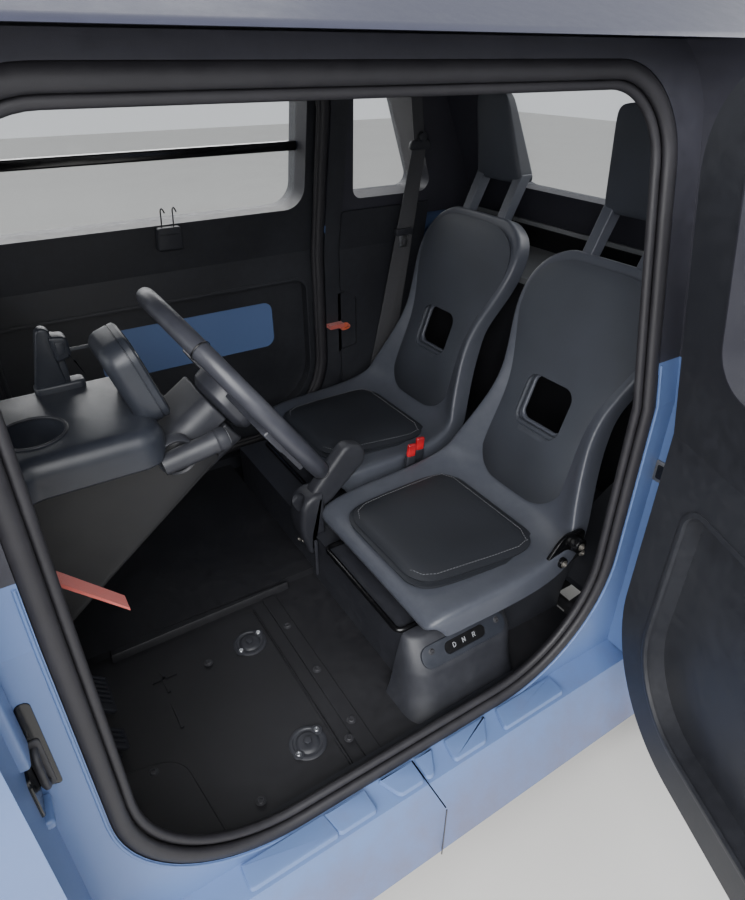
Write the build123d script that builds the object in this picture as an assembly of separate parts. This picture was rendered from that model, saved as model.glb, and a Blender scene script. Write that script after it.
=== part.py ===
from build123d import *
import os
from math import cos, hypot, pi, radians, sin, tan

os.makedirs("parts", exist_ok=True)

# Whole vehicle, in millimetres: X forward, Y to the driver's side, Z up from the ground
half_length = 1205
half_width = 695
roof_height = 1520
rain_drop = 74
rain_height = roof_height - rain_drop
belt_height = 930
split_height = 1005
side_lean = 0.18
belly_height = 190
half_wheelbase = 864

# Body ends
nose_chin = half_length - 55
nose_chin_height = 330
nose_top_height = 730
cowl_x = half_length - 55
header_x = 800
header_drop = 33
header_height = roof_height - header_drop
roof_flat = 400
roof_edge = 440
plan_corner = 240
plan_margin = 1
skin = 14
screen_frame = 40

# Side wall layers: distance from the centreline at the belt and below
rebate_plane = 589
inner_plane = 560
post_end = 560
rebate_half = 524
rebate_bottom = 344
rebate_top = rain_height + 22

# Door aperture and its rubber ring
aperture_half = 473
aperture_bottom = 344
aperture_top = rain_height - 22
aperture_radii = (262, 262, 130, 130)
seal_width = 26
seal_proud = 2
seal_depth = 32

# Doors
door_gap = 6
door_free_gap = 12
trim_inset = 10
door_clearance = 7
door_split = 640
door_bottom = 352
door_top = aperture_top + 16
door_lower_radius = 230
door_upper_radius = 130
door_open_angle = 67
hinge_x = rebate_half - door_gap - 5
hinge_y = half_width - 5
hinge_heights = (560, 800)
hinge_pin = 5
hinge_knuckle = 9
hinge_notch = 18
hinge_reach = 38
knuckle_half = 16
window_half = 424
window_bottom = 1052
window_top = aperture_top - 20
window_radius = 62
divider_height = 1213
divider_bar = 22
glass_thickness = 4
pocket_half = 430
pocket_bottom = 430
pocket_top = 850
pocket_radius = 150
pocket_back = 5
peephole = (-190, 327, 640, 782)

# Other windows
screen_sill = 1030
screen_top = rain_height - 28
screen_half_bottom = 560
screen_half_top = 480
rear_sill = 1104
rear_half_bottom = 345
rear_half_top = 305
quarter_front = 560
quarter_front_top = 532
quarter_rear = 840
quarter_rear_top = 695
quarter_sill = 1072
quarter_top = rain_height - 50

# Floor, toe board and rear bulkhead
floor_height = 300
floor_thickness = 25
toe_start = 480
toe_mid = 545
toe_mid_height = 525
toe_top = 600
toe_top_height = 760
toe_wall = 20
bulkhead_x = 830
bulkhead_height = 898
shelf_thickness = 16
shelf_rear = cowl_x - 30
shelf_fold = 26
shelf_half = inner_plane - 20
ledge_height = split_height - 14
ledge_depth = 30
passenger_step = 20

# Wheels and axles
tyre_radius = 278.5
tyre_width = 155
bead_radius = 178
wheel_centre_y = 600
axle_height = tyre_radius
arch_radius = 318
arch_wall = 5
arch_inner = 385
arch_window = 262
fender_seam = arch_inner - 8
ball_joint_y = 540
ball_joint_height = 200
kingpin_lean = 12
rear_arm_y = 430
stub_radius = 20
running_gap = 0.05
seat_gap = 0.3

# Chassis
rail_y = 290
rail_width = 50
rail_height = 60
rail_end = half_length - 115
cross_width = 50
cross_inset = 30

# Towing eye and jacking pads
eye_boss = 18
eye_bore = 8
eye_depth = 40
eye_tip = rail_end + 50
eye_access = 24
jack_x = 440
jack_y = 500
jack_pad = 60
jack_drop = 6

# Cabin linings
lining = 10
lining_gap = 0.3
lining_face = inner_plane - lining_gap - lining
lining_top = split_height + 36
lining_edge = 521
notch_depth = 56
notch_low = 620
notch_high = 775
notch_slope = 36

# Belts, on the left side
belt_low = (-650, 543, 528)
belt_high = (-764, 502, 1200)
belt_width = 46
belt_web = 5
guide_size = (76, 34)
anchor_plate = (40, 60)

# Door handle recess in the outer skin
handle_x = 410
handle_z = 925
handle_length = 130
handle_height = 44
handle_depth = 22

# Bumper
bumper_half = 470
bumper_rise = 90
bumper_depth = 150

# Seats
seat_y = 255
passenger_back_set = 78
cushion_front = -130
knee_x = -517
knee_z = 507
knee_radius = 90
cushion_slope = 3
back_recline = 20.5
back_top = 1058
hole_half = 62
hole_low = 697
hole_high = 802
post_reach = 86
post_width = 28
rail_top = 452
rail_rear = -455
rail_spread = 150
shell_thickness = 34
pad_thickness = 20
plinth_front = -100
plinth_height = 440
plinth_half = 430
plinth_wall = 8


# Dashboard
dash_top = 1005
dash_low = 951
dash_rear = 262
dash_near = 365
dash_step = 455
dash_far = 138
dash_far_x = 470
dash_half = 530
dash_front = 1005
dash_wall_near = 342
dash_rim = 16
tray_depth = 14
tray_edge = 110
cup_x = 418
cup_y = 281
cup_radius = 42
cup_depth = 48
barrel_x = 252
barrel_z = 944
barrel_radius = 17
barrel_recess = 26
barrel_length = 70
barrel_lean = 80
foot_height = 60
foot_far = 145
foot_near = 316
foot_front = 368

# Instrument pod
pod_x = 280
pod_z = 1043
pod_height = 134
pod_width = 122
pod_corner = 32
pod_depth = 44
pod_lean = 72

# Steering wheel and column
wheel_centre = (125, seat_y, 985)
wheel_tilt = 34
rim_radius = 182
grip_radius = 14


def rounded_edges(corners, place):
    """Lines and arcs round a closed outline; each corner is (u, v, radius)."""
    edges = []
    joins = []
    count = len(corners)
    for i in range(count):
        u, v, radius = corners[i]
        pu, pv, _ = corners[i - 1]
        nu, nv, _ = corners[(i + 1) % count]
        a = ((pu - u) / hypot(pu - u, pv - v), (pv - v) / hypot(pu - u, pv - v))
        b = ((nu - u) / hypot(nu - u, nv - v), (nv - v) / hypot(nu - u, nv - v))
        if radius == 0:
            joins.append(((u, v), (u, v)))
            continue
        half_cos = ((1 + a[0] * b[0] + a[1] * b[1]) / 2) ** 0.5
        half_sin = (1 - half_cos ** 2) ** 0.5
        reach = radius * half_cos / half_sin
        first = (u + a[0] * reach, v + a[1] * reach)
        last = (u + b[0] * reach, v + b[1] * reach)
        bisector = (a[0] + b[0], a[1] + b[1])
        size = hypot(*bisector)
        depth = radius / half_sin - radius
        middle = (u + bisector[0] / size * depth, v + bisector[1] / size * depth)
        edges.append(Edge.make_three_point_arc(place(*first), place(*middle), place(*last)))
        joins.append((first, last))
    for i in range(count):
        start = joins[i - 1][1]
        end = joins[i][0]
        if hypot(end[0] - start[0], end[1] - start[1]) > 1e-6:
            edges.append(Edge.make_line(place(*start), place(*end)))
    return edges


def prism(axis, corners, low, high):
    """Solid of an outline pulled along one axis; outline rows are (u, v, radius)."""
    rows = [row if len(row) == 3 else (row[0], row[1], 0) for row in corners]
    places = {
        "x": lambda u, v: Vector(low, u, v),
        "y": lambda u, v: Vector(u, low, v),
        "z": lambda u, v: Vector(u, v, low),
    }
    directions = {"x": (1, 0, 0), "y": (0, 1, 0), "z": (0, 0, 1)}
    face = Face(Wire(rounded_edges(rows, places[axis])))
    return extrude(face, amount=high - low, dir=directions[axis])


def block(x0, x1, y0, y1, z0, z1):
    return Pos((x0 + x1) / 2, (y0 + y1) / 2, (z0 + z1) / 2) * Box(x1 - x0, y1 - y0, z1 - z0)


def rod(axis, centre, radius, low, high):
    """Round bar along one axis; centre gives the other two coordinates."""
    length = high - low
    middle = (low + high) / 2
    if axis == "x":
        return Pos(middle, centre[0], centre[1]) * Rot(0, 90, 0) * Cylinder(radius, length)
    if axis == "y":
        return Pos(centre[0], middle, centre[1]) * Rot(90, 0, 0) * Cylinder(radius, length)
    return Pos(centre[0], centre[1], middle) * Cylinder(radius, length)


def mirrored(shape):
    return mirror(shape, about=Plane.XZ)


def pair(shape):
    return shape + mirrored(shape)


def half_turn(shape):
    """The same moulding turned round for the other side of the vehicle."""
    return Rot(0, 0, 180) * shape


def symmetric(half):
    """Closed outline from the rows of one side, top to bottom, mirrored in u."""
    return half + [(-u, v, r) for u, v, r in reversed(half)]


def side_y(layer, z):
    return layer - side_lean * max(0, z - belt_height)


def side_layer(inner, outer, x0, x1, z0, z1):
    """Left wall between two layers, upright to the belt and leaning in above it."""
    corners = [(side_y(inner, z0), z0), (side_y(outer, z0), z0)]
    if z0 < belt_height < z1:
        corners.append((outer, belt_height))
    corners += [(side_y(outer, z1), z1), (side_y(inner, z1), z1)]
    if z0 < belt_height < z1:
        corners.append((inner, belt_height))
    return prism("x", corners, x0, x1)


def body_form(inset, side_inset, roof_inset):
    """Outer form of the whole body, or the same form drawn in by its walls."""
    lean_inset = inset * 1.25
    side = symmetric([
        (nose_chin - inset, belly_height - 20, 0),
        (half_length - inset, nose_chin_height, 60),
        (half_length - inset, nose_top_height, 150),
        (cowl_x - lean_inset, belt_height, 60),
        (header_x - lean_inset, header_height - roof_inset, 90),
        (roof_flat, roof_height - roof_inset, 700),
    ])
    width = half_width - side_inset
    front = symmetric([
        (width, belly_height - 20, 0),
        (width, belt_height, 300),
        (side_y(width, rain_height), rain_height, 30),
        (roof_edge, roof_height - roof_inset - 6, 90),
    ])
    plan = symmetric([
        (half_length - inset, -width - plan_margin, plan_corner - inset / 2),
        (half_length - inset, width + plan_margin, plan_corner - inset / 2),
    ])
    form = prism("y", side, -half_width, half_width)
    form &= prism("x", front, -half_length, half_length)
    return form & prism("z", plan, 0, roof_height)


def opening(half, bottom, top, radii):
    """Door opening outline: lower front, lower rear, upper rear, upper front radii."""
    return [(half, bottom, radii[0]), (-half, bottom, radii[1]),
            (-half, top, radii[2]), (half, top, radii[3])]


def through_side(corners):
    return prism("y", corners, 300, half_width + 50)


def door_rebate():
    """Space that the closed door fills, with its gap."""
    space = side_layer(rebate_plane, half_width + 40, -rebate_half, rebate_half,
                       rebate_bottom, rebate_top)
    return space & through_side(opening(rebate_half, rebate_bottom - 60, rebate_top,
                                        (0, 0, door_upper_radius, door_upper_radius)))


def aperture(grow=0):
    radii = [r + grow for r in aperture_radii]
    return opening(aperture_half + grow, aperture_bottom - grow, aperture_top + grow, radii)


def arch(radius, inner, outer, x):
    return rod("y", (x, axle_height), radius, inner, outer)


def shell_end(form, hollow):
    """Front end of the lower body: skin, wheel arches and their liners."""
    region = block(post_end, half_length + 10, -half_width, half_width,
                   belly_height, split_height)
    end = (form - hollow) & region
    post = side_layer(inner_plane, half_width, post_end, post_end + 40,
                      belly_height, split_height) & form
    end = end + pair(post - arch(arch_radius + arch_wall, 0, 800, half_wheelbase))
    liner = arch(arch_radius + arch_wall, arch_inner, half_width - 5, half_wheelbase) & form
    liner = liner & block(post_end, half_length - 20, 0, half_width, belly_height, belt_height)
    hole = arch(arch_radius, arch_inner + arch_wall, half_width + 20, half_wheelbase)
    window = block(half_wheelbase - arch_window, half_wheelbase + arch_window, arch_inner - 5,
                   arch_inner + 60, belly_height - 5, axle_height + 60)
    return end + pair(liner) - pair(hole) - pair(window)


def nose_zone():
    return block(0, half_length + 20, -fender_seam, fender_seam, 0, roof_height)


def lamp_row():
    """Rows of (y, z, radius): main lamp, marker lamp."""
    return [(470, 640, 62), (470, 790, 34)]


def lamps(grow=0):
    set_of = [rod("x", (y, z), radius + grow, half_length - 110, half_length + 30)
              for y, z, radius in lamp_row()]
    return pair(set_of[0] + set_of[1])


def bumper_zone():
    top = nose_chin_height + bumper_rise
    zone = prism("x", symmetric([(bumper_half, top, 60), (bumper_half, belly_height, 0)]),
                 half_length - bumper_depth, half_length + 10)
    return zone


def side_frame(form):
    """Front half of the left door frame: post, rebate floor and sill."""
    ring = side_layer(inner_plane, rebate_plane, 0, post_end, rebate_bottom, split_height)
    post = side_layer(inner_plane, half_width, rebate_half, post_end,
                      rebate_bottom, split_height) & form
    post = post - arch(arch_radius + arch_wall, 0, 800, half_wheelbase)
    sill = prism("x", [(inner_plane - 20, belly_height), (half_width - 15, belly_height),
                       (half_width, belly_height + 20), (half_width - 55, rebate_bottom - 8),
                       (rebate_plane, rebate_bottom), (inner_plane - 20, rebate_bottom)],
                 0, post_end)
    sill = sill - arch(arch_radius + arch_wall, 0, 800, half_wheelbase)
    return ring + post + sill - through_side(aperture())


def greenhouse(form):
    """Upper frame between belt and roof, with all windows and door openings cut."""
    band = block(-half_length, half_length, -half_width, half_width, split_height, rain_height)
    keep = pair(side_layer(0, inner_plane, -half_length, half_length, split_height, rain_height))
    keep = keep & prism("y", screen_inner_profile(), -half_width, half_width)
    frame = (form & band) - keep
    rebate = door_rebate()
    hole = through_side(aperture())
    screen = prism("x", symmetric([(screen_half_bottom, screen_sill, 60),
                                   (screen_half_top, screen_top, 60)]), 500, half_length)
    rear = prism("x", symmetric([(rear_half_bottom, rear_sill, 50),
                                 (rear_half_top, screen_top, 50)]), -half_length, -500)
    quarter = through_side(quarter_outline(0))
    for cutter in (rebate, hole, quarter):
        frame = frame - cutter - mirrored(cutter)
    return frame - screen - rear


def screen_inner_profile():
    """Inside of the upper frame seen from the side."""
    drop = screen_frame * 1.25
    return symmetric([(cowl_x - drop - 20, belt_height - 5, 0),
                      (header_x - drop, header_height - 5, 40)])


def quarter_outline(shrink):
    return [(-quarter_front - shrink, quarter_sill + shrink, 30),
            (-quarter_rear + shrink * 2, quarter_sill + shrink, 30),
            (-quarter_rear_top + shrink, quarter_top - shrink, 30),
            (-quarter_front_top - shrink, quarter_top - shrink, 30)]


def screen_slab(offset, thickness):
    """Sloping slab under the outer face of the windscreen frame."""
    slope = (cowl_x - header_x) / (header_height - belt_height)
    low = (cowl_x - offset, belt_height)
    high = (cowl_x - offset - slope * 560, belt_height + 560)
    depth = thickness * 1.25
    return prism("y", [low, high, (high[0] - depth, high[1]), (low[0] - depth, low[1])],
                 -half_width, half_width)


def windscreen():
    pane = prism("x", symmetric([(screen_half_bottom, screen_sill, 60),
                                 (screen_half_top, screen_top, 60)]), 500, half_length)
    return pane & screen_slab(16, glass_thickness + 1)


def rear_glass():
    pane = prism("x", symmetric([(rear_half_bottom, rear_sill, 50),
                                 (rear_half_top, screen_top, 50)]), -half_length, -500)
    slab = mirror(screen_slab(16, glass_thickness + 1), about=Plane.YZ)
    return pane & slab


def quarter_glass():
    pane = through_side(quarter_outline(0))
    pane = pane & side_layer(half_width - 16 - glass_thickness, half_width - 16,
                             -half_length, 0, belt_height, rain_height)
    return pair(pane)


def door_outline(shrink):
    hinged = -rebate_half + door_gap + shrink
    free = rebate_half - door_free_gap - shrink
    low = door_bottom + shrink
    high = door_top - shrink
    return [(free, low, door_lower_radius), (hinged, low, door_lower_radius),
            (hinged, high, door_upper_radius), (free, high, door_upper_radius)]


def window_outline(shrink, bottom=window_bottom, top=window_top):
    radius = window_radius - shrink
    return opening(window_half - shrink, bottom + shrink, top - shrink, (radius,) * 4)


def door_pieces(form):
    """Closed left door: skin, trim and the two panes."""
    inner = rebate_plane + door_clearance
    window = through_side(window_outline(0))
    bar = block(-window_half - 10, window_half + 10, 0, half_width,
                divider_height - divider_bar / 2, divider_height + divider_bar / 2)
    span = (-rebate_half, rebate_half, door_bottom - 20, door_top + 10)
    leaf = form & through_side(door_outline(0))
    skin_layer = side_layer(door_split, half_width + 20, *span)
    trim_layer = side_layer(inner, door_split, *span)
    bar_layer = side_layer(door_split + 8, door_split + 30, *span)
    shell = (leaf & skin_layer) - window + (bar & bar_layer & through_side(window_outline(-4)))
    trim = (through_side(door_outline(trim_inset)) & trim_layer) - window
    for z in hinge_heights:
        shell = shell - hinge_bar(hinge_notch, z, hinge_reach + 3)
        arm = block(-hinge_x + hinge_pin + 2, -hinge_x + hinge_notch + 2, hinge_y - 7,
                    hinge_y + 3, z - knuckle_half, z + knuckle_half)
        eye = hinge_bar(hinge_knuckle, z, knuckle_half) + arm
        shell = shell + eye - hinge_bar(hinge_pin + running_gap, z, knuckle_half + 1)
    shell = shell - handle_recess() + handle_bar()
    pocket = through_side(opening(pocket_half, pocket_bottom, pocket_top,
                                  (pocket_radius, pocket_radius, 40, 40)))
    back = pocket & side_layer(door_split - pocket_back, door_split, *span)
    x0, x1, z0, z1 = peephole
    back = back - through_side([(x0, z0, 30), (x1, z0, 30), (x1, z1, 30), (x0, z1, 30)])
    trim = trim - pocket + back
    glass_layer = side_layer(door_split + 16, door_split + 16 + glass_thickness, *span)
    panes = through_side(window_outline(0)) & glass_layer
    panes = panes - block(-window_half - 10, window_half + 10, 0, half_width,
                          divider_height - divider_bar / 2, divider_height + divider_bar / 2)
    return shell, trim, panes


def handle_recess():
    """Rounded hollow behind the door handle, open to the outside."""
    cup = prism("y", opening(handle_length / 2, -handle_height / 2, handle_height / 2, (12,) * 4),
                half_width - handle_depth, half_width + 5)
    return Pos(handle_x, 0, handle_z) * cup


def handle_bar():
    grip = prism("y", opening(handle_length / 2 + 1, -10, 10, (0,) * 4),
                 half_width - 12, half_width - 2)
    return Pos(handle_x, 0, handle_z + 4) * grip


def hinge_bar(radius, z, reach):
    return rod("z", (-hinge_x, hinge_y), radius, z - reach, z + reach)


def hinge_brackets():
    """Left body brackets: a pin between two arms on the rear post, at each height."""
    brackets = []
    for z in hinge_heights:
        piece = hinge_bar(hinge_pin, z, hinge_reach)
        for low, high in ((z - hinge_reach, z - knuckle_half - 2),
                          (z + knuckle_half + 2, z + hinge_reach)):
            piece = piece + block(-rebate_half, -hinge_x, hinge_y - 5, hinge_y + 4, low, high)
        brackets.append(piece)
    return brackets[0] + brackets[1]


def swing_open(shape):
    axis = Axis((-hinge_x, hinge_y, 0), (0, 0, 1))
    return shape.rotate(axis, door_open_angle)


def seal_ring():
    ring = through_side(aperture()) - through_side(aperture(-seal_width))
    return ring & side_layer(rebate_plane + seal_proud - seal_depth,
                             rebate_plane + seal_proud,
                             -rebate_half, rebate_half, aperture_bottom - 5, rain_height)


def roof(form):
    top = form & block(-half_length, half_length, -half_width, half_width,
                       rain_height, roof_height + 5)
    hollow = body_form(skin, skin, 22) & block(-half_length, half_length, -half_width,
                                               half_width, rain_height - 5, roof_height)
    return top - hollow


def floor_tub():
    """Moulded floor, toe board and rear bulkhead in one bent sheet."""
    inner = [(toe_top, toe_top_height), (toe_top, toe_mid_height + 55),
             (toe_mid, toe_mid_height), (toe_start, floor_height),
             (-bulkhead_x, floor_height), (-bulkhead_x, bulkhead_height)]
    outer = [(-bulkhead_x - toe_wall, bulkhead_height),
             (-bulkhead_x - toe_wall, floor_height - floor_thickness),
             (toe_start - 4, floor_height - floor_thickness),
             (toe_mid + toe_wall, toe_mid_height - 4),
             (toe_top + toe_wall, toe_mid_height + 46),
             (toe_top + toe_wall, toe_top_height)]
    tub = prism("y", inner + outer, -inner_plane, inner_plane)
    tub = tub - pair(block(-half_length, half_length, inner_plane - 20, inner_plane + 1,
                           0, rebate_bottom))
    step = block(plinth_front, toe_start - 12, -inner_plane + 20, 20,
                 floor_height, floor_height + passenger_step)
    tub = tub + step
    arches = arch(arch_radius + arch_wall, arch_inner, 800, -half_wheelbase)
    return tub - arches - mirrored(arches)


def seat_plinth():
    body = block(-bulkhead_x, plinth_front, -plinth_half, plinth_half,
                 floor_height, plinth_height)
    hollow = block(-bulkhead_x + 160, plinth_front - plinth_wall,
                   -plinth_half + plinth_wall, plinth_half - plinth_wall,
                   floor_height - 1, plinth_height - plinth_wall)
    step = block(plinth_front - 12, plinth_front + 1, -plinth_half, 20,
                 floor_height - 1, floor_height + passenger_step)
    arches = arch(arch_radius + arch_wall, arch_inner, 800, -half_wheelbase)
    return body - hollow - step - arches - mirrored(arches)


def drive_selector():
    case = prism("x", [(plinth_half, 335, 0), (plinth_half + 62, 335, 12),
                       (plinth_half + 50, 440, 14), (plinth_half, 440, 0)], -355, -85)
    side = prism("y", [(-355, 330, 30), (-85, 330, 30), (-95, 445, 24), (-345, 445, 24)],
                 plinth_half, plinth_half + 70)
    return case & side & block(-half_length, plinth_front, 0, half_width, 0, roof_height)


def seat_band(low, high, front):
    """Side view of a layer over the seat surface: cushion, bend and reclined back."""
    a = radians(cushion_slope)
    b = radians(back_recline)
    det = -sin(a) * sin(b) - cos(a) * cos(b)
    shift = ((sin(b) - cos(a)) / det, (-sin(a) - cos(b)) / det)
    corners = []
    for level, flip in ((high, 1), (low, -1)):
        knee = (knee_x + level * shift[0], knee_z + level * shift[1])
        rise = (front, knee[1] + (front - knee[0]) * sin(a) / cos(a))
        head = (knee[0] - (back_top - knee[1]) * sin(b) / cos(b), back_top)
        row = [rise + (0,), knee + (knee_radius - level,), head + (0,)]
        corners += row[::flip]
    return prism("y", corners, -250, 250)


def seat_shell():
    side = seat_band(-shell_thickness, 0, cushion_front)
    outline = prism("x", symmetric([(232, 440, 0), (232, 540, 70), (146, 735, 150),
                                    (198, 905, 90), (190, back_top + 10, 96)]), -900, 0)
    plan = prism("z", [(-100, -235, 90), (-100, 235, 90), (-900, 235, 0), (-900, -235, 0)],
                 400, 1200)
    hole = prism("x", symmetric([(hole_half, hole_low, 18), (hole_half, hole_high, 18)]), -900, -500)
    skirt = block(-470, cushion_front - 2, -218, 218, rail_top, knee_z)
    skirt = skirt - block(-460, cushion_front - 14, -206, 206, rail_top - 1, knee_z + 40)
    skirt = skirt - seat_band(0, 60, 0)
    return ((side & outline) - hole + skirt) & plan


def seat_pads():
    base = seat_band(seat_gap, seat_gap + pad_thickness, cushion_front)
    cushion = base & prism("z", [(-144, -152, 50), (-144, 152, 50), (-455, 170, 50),
                                 (-455, -170, 50)], 400, 700)
    back = base & prism("x", symmetric([(118, 548, 60), (138, 622, 60), (136, 745, 150),
                                        (180, 900, 90), (172, back_top - 22, 92)]), -900, -500)
    wide = hole_half + 7
    hole = prism("x", symmetric([(wide, hole_low - 7, 25), (wide, hole_high + 7, 25)]), -900, -500)
    return cushion, back - hole


def headrest():
    """Head pad with its two flat posts, standing on the top of the back."""
    pad = prism("y", [(-768, 1135, 20), (-714, 1345, 14), (-746, 1345, 14), (-834, 1135, 18)],
                -88, 88)
    pad = pad & prism("x", symmetric([(88, 1130, 22), (58, 1350, 34)]), -900, -600)
    top_x = knee_x - (back_top - knee_z) * tan(radians(back_recline))
    posts = []
    for y in (-post_reach, post_reach - post_width):
        posts.append(prism("y", [(top_x - 4, back_top), (-778, 1160), (-816, 1160),
                                 (top_x - shell_thickness + 2, back_top)], y, y + post_width))
    return pad + posts[0] + posts[1]


def seat_rail():
    rails = []
    for y in (-rail_spread, rail_spread):
        rails.append(block(rail_rear, -150, y - 10, y + 10, plinth_height, rail_top))
    height = (plinth_height + rail_top) / 2
    bar = rod("y", (plinth_front + 5, height), 5.8, -rail_spread - 6, rail_spread + 6)
    for y in (-rail_spread, rail_spread):
        bar = bar + rod("x", (y, height), 5.8, -160, plinth_front + 5)
    return rails[0] + rails[1] + bar


def place_seat(shape, side):
    back_set = -passenger_back_set if side < 0 else 0
    return Pos(back_set, side * seat_y, 0) * shape


def both_seats(shape):
    return place_seat(shape, 1) + place_seat(shape, -1)


def dashboard():
    """Driver's side shelf with a rounded rim, lower walls, cup well and tray."""
    plan = [(dash_rear, dash_far, 30), (dash_rear, dash_near, 34), (dash_step, dash_near, 22),
            (dash_step, dash_half, 20), (dash_front, dash_half, 40), (dash_front, -dash_half, 40),
            (dash_far_x, -dash_half, 20), (dash_far_x, dash_far, 30)]
    shelf = prism("z", plan, dash_low, dash_top)
    shelf = fillet(shelf.faces().sort_by(Axis.Z)[-1].edges(), dash_rim)
    tray = block(dash_far_x + 30, dash_front - 40, -dash_half + 40, tray_edge,
                 dash_top - tray_depth, dash_top + 5)
    driver = prism("y", [(barrel_x - 36, dash_low), (188, 925, 12), (396, 760, 30),
                         (540, 640, 20), (toe_top, 640), (toe_top, dash_low)],
                   dash_far + 8, dash_wall_near)
    passenger = prism("y", [(dash_far_x + 12, dash_low), (520, 800, 40), (toe_top, 720),
                            (toe_top, dash_low)], -dash_half + 15, dash_far + 8)
    cup = rod("z", (cup_x, cup_y), cup_radius, dash_top - cup_depth, dash_top + 10)
    recess = rod("y", (barrel_x, barrel_z), barrel_recess, dash_near - 45, dash_near + 10)
    dash = shelf + driver + passenger - tray - cup - recess
    dash = dash - stalk_barrel(barrel_radius + 3, 0, barrel_length)
    return dash - on_column(Pos(0, 0, -138) * Box(113, 99, 181))


def stalk_barrel(radius, low, high):
    """Round switch stalk that points from its recess to the driver."""
    bar = Pos(0, 0, (low + high) / 2) * Cylinder(radius, high - low)
    place = Pos(barrel_x - 6, dash_near - barrel_radius - 3, barrel_z + 1)
    return place * Rot(0, -barrel_lean, 0) * bar


def instrument_pod():
    """Round display housing on a tapered foot."""
    turn = Pos(pod_x, seat_y, pod_z) * Rot(0, -pod_lean, 0)
    case = Box(pod_height, pod_width, pod_depth)
    case = fillet(case.edges().filter_by(Axis.Z), pod_corner)
    case = turn * fillet(case.edges().filter_by(GeomType.CIRCLE), 5)
    face = turn * Pos(0, 0, pod_depth / 2) * Box(pod_height - 22, pod_width - 22, 6)
    top = dash_top + foot_height
    foot = prism("y", [(pod_x, dash_top - 1, 0), (pod_x + 10, top, 0),
                       (foot_front - 26, top, 16), (foot_front, dash_top - 1, 0)],
                 foot_far, foot_near)
    taper = prism("x", [(foot_far, dash_top - 1, 0), (foot_near, dash_top - 1, 0),
                        (foot_near - 20, top + 1, 18), (foot_far + 14, top + 1, 12)],
                  0, foot_front + 10)
    return case + (foot & taper) - face - dashboard() - steering_column()


def on_column(shape):
    """Take a shape modelled round +Z at the origin onto the steering axis, face up."""
    return Pos(*wheel_centre) * Rot(0, wheel_tilt - 90, 0) * shape


def steering_wheel():
    rim = Torus(rim_radius, grip_radius)
    boss = Pos(0, 0, -20) * Cylinder(52, 44)
    spokes = None
    for angle in (0, 180, 270):
        spoke = Rot(0, 0, angle + 90) * Pos(rim_radius / 2, 0, -6) * Box(rim_radius, 34, 12)
        spokes = spoke if spokes is None else spokes + spoke
    shaft = Pos(0, 0, -62) * Cylinder(12, 60)
    return on_column(rim + boss + spokes + shaft)


def steering_column():
    """Shroud round the steering shaft, and the switch stalk beside it."""
    shroud = Pos(0, 0, -138) * Box(110, 96, 180)
    shroud = fillet(shroud.edges().filter_by(Axis.Z), 18)
    bore = Pos(0, 0, -75) * Cylinder(12 + running_gap, 70)
    stalk = stalk_barrel(barrel_radius, -40, barrel_length) - dashboard()
    return on_column(shroud - bore) + stalk


def tyre(x, side):
    section = [(bead_radius, -52, 0), (200, -tyre_width / 2, 14), (245, -tyre_width / 2, 18),
               (tyre_radius, -60, 18), (tyre_radius, 60, 18), (245, tyre_width / 2, 18),
               (200, tyre_width / 2, 14), (bead_radius, 52, 0)]
    return place_wheel(turned(section), x, side)


def turned(section):
    """Ring turned round the Y axis; section rows are (radius, y, corner radius)."""
    face = Face(Wire(rounded_edges(section, lambda u, v: Vector(u, v, 0))))
    return revolve(face, axis=Axis.Y, revolution_arc=360)


def place_wheel(shape, x, side):
    if side < 0:
        shape = mirrored(shape)
    return Pos(x, side * wheel_centre_y, axle_height) * shape


def rim(x, side):
    barrel = turned([(bead_radius, -52, 0), (bead_radius, 52, 0), (170, 58, 0), (158, 40, 0),
                     (158, 30, 0), (stub_radius + running_gap, 30, 0),
                     (stub_radius + running_gap, -30, 0), (56, -30, 0), (56, 18, 0),
                     (158, 18, 0), (158, -40, 0), (170, -58, 0)])
    for k in range(8):
        angle = 2 * pi * k / 8
        vent = rod("y", (112 * cos(angle), 112 * sin(angle)), 20, 10, 45)
        barrel = barrel - vent
    return place_wheel(barrel, x, side)


def on_kingpin(shape):
    """Take a shape modelled round +Z at the lower ball joint onto the steering axis."""
    return Pos(half_wheelbase, ball_joint_y, ball_joint_height) * Rot(kingpin_lean, 0, 0) * shape


def kingpin_bar(radius, low, high):
    return on_kingpin(rod("z", (0, 0), radius, low, high))


def knuckle():
    """Left upright: stub axle, kingpin top and lower joint boss."""
    upright = on_kingpin(block(-26, 26, -18, 14, 4, 176))
    boss = kingpin_bar(20, 3, 34)
    pin = kingpin_bar(15, 170, 236)
    stub = rod("y", (half_wheelbase, axle_height), stub_radius, ball_joint_y - 20,
               wheel_centre_y + 28)
    flange = rod("y", (half_wheelbase, axle_height), 44, ball_joint_y - 10,
                 wheel_centre_y - 36)
    socket = kingpin_bar(10 + running_gap, 0, 31)
    return upright + boss + pin + stub + flange - socket


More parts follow.
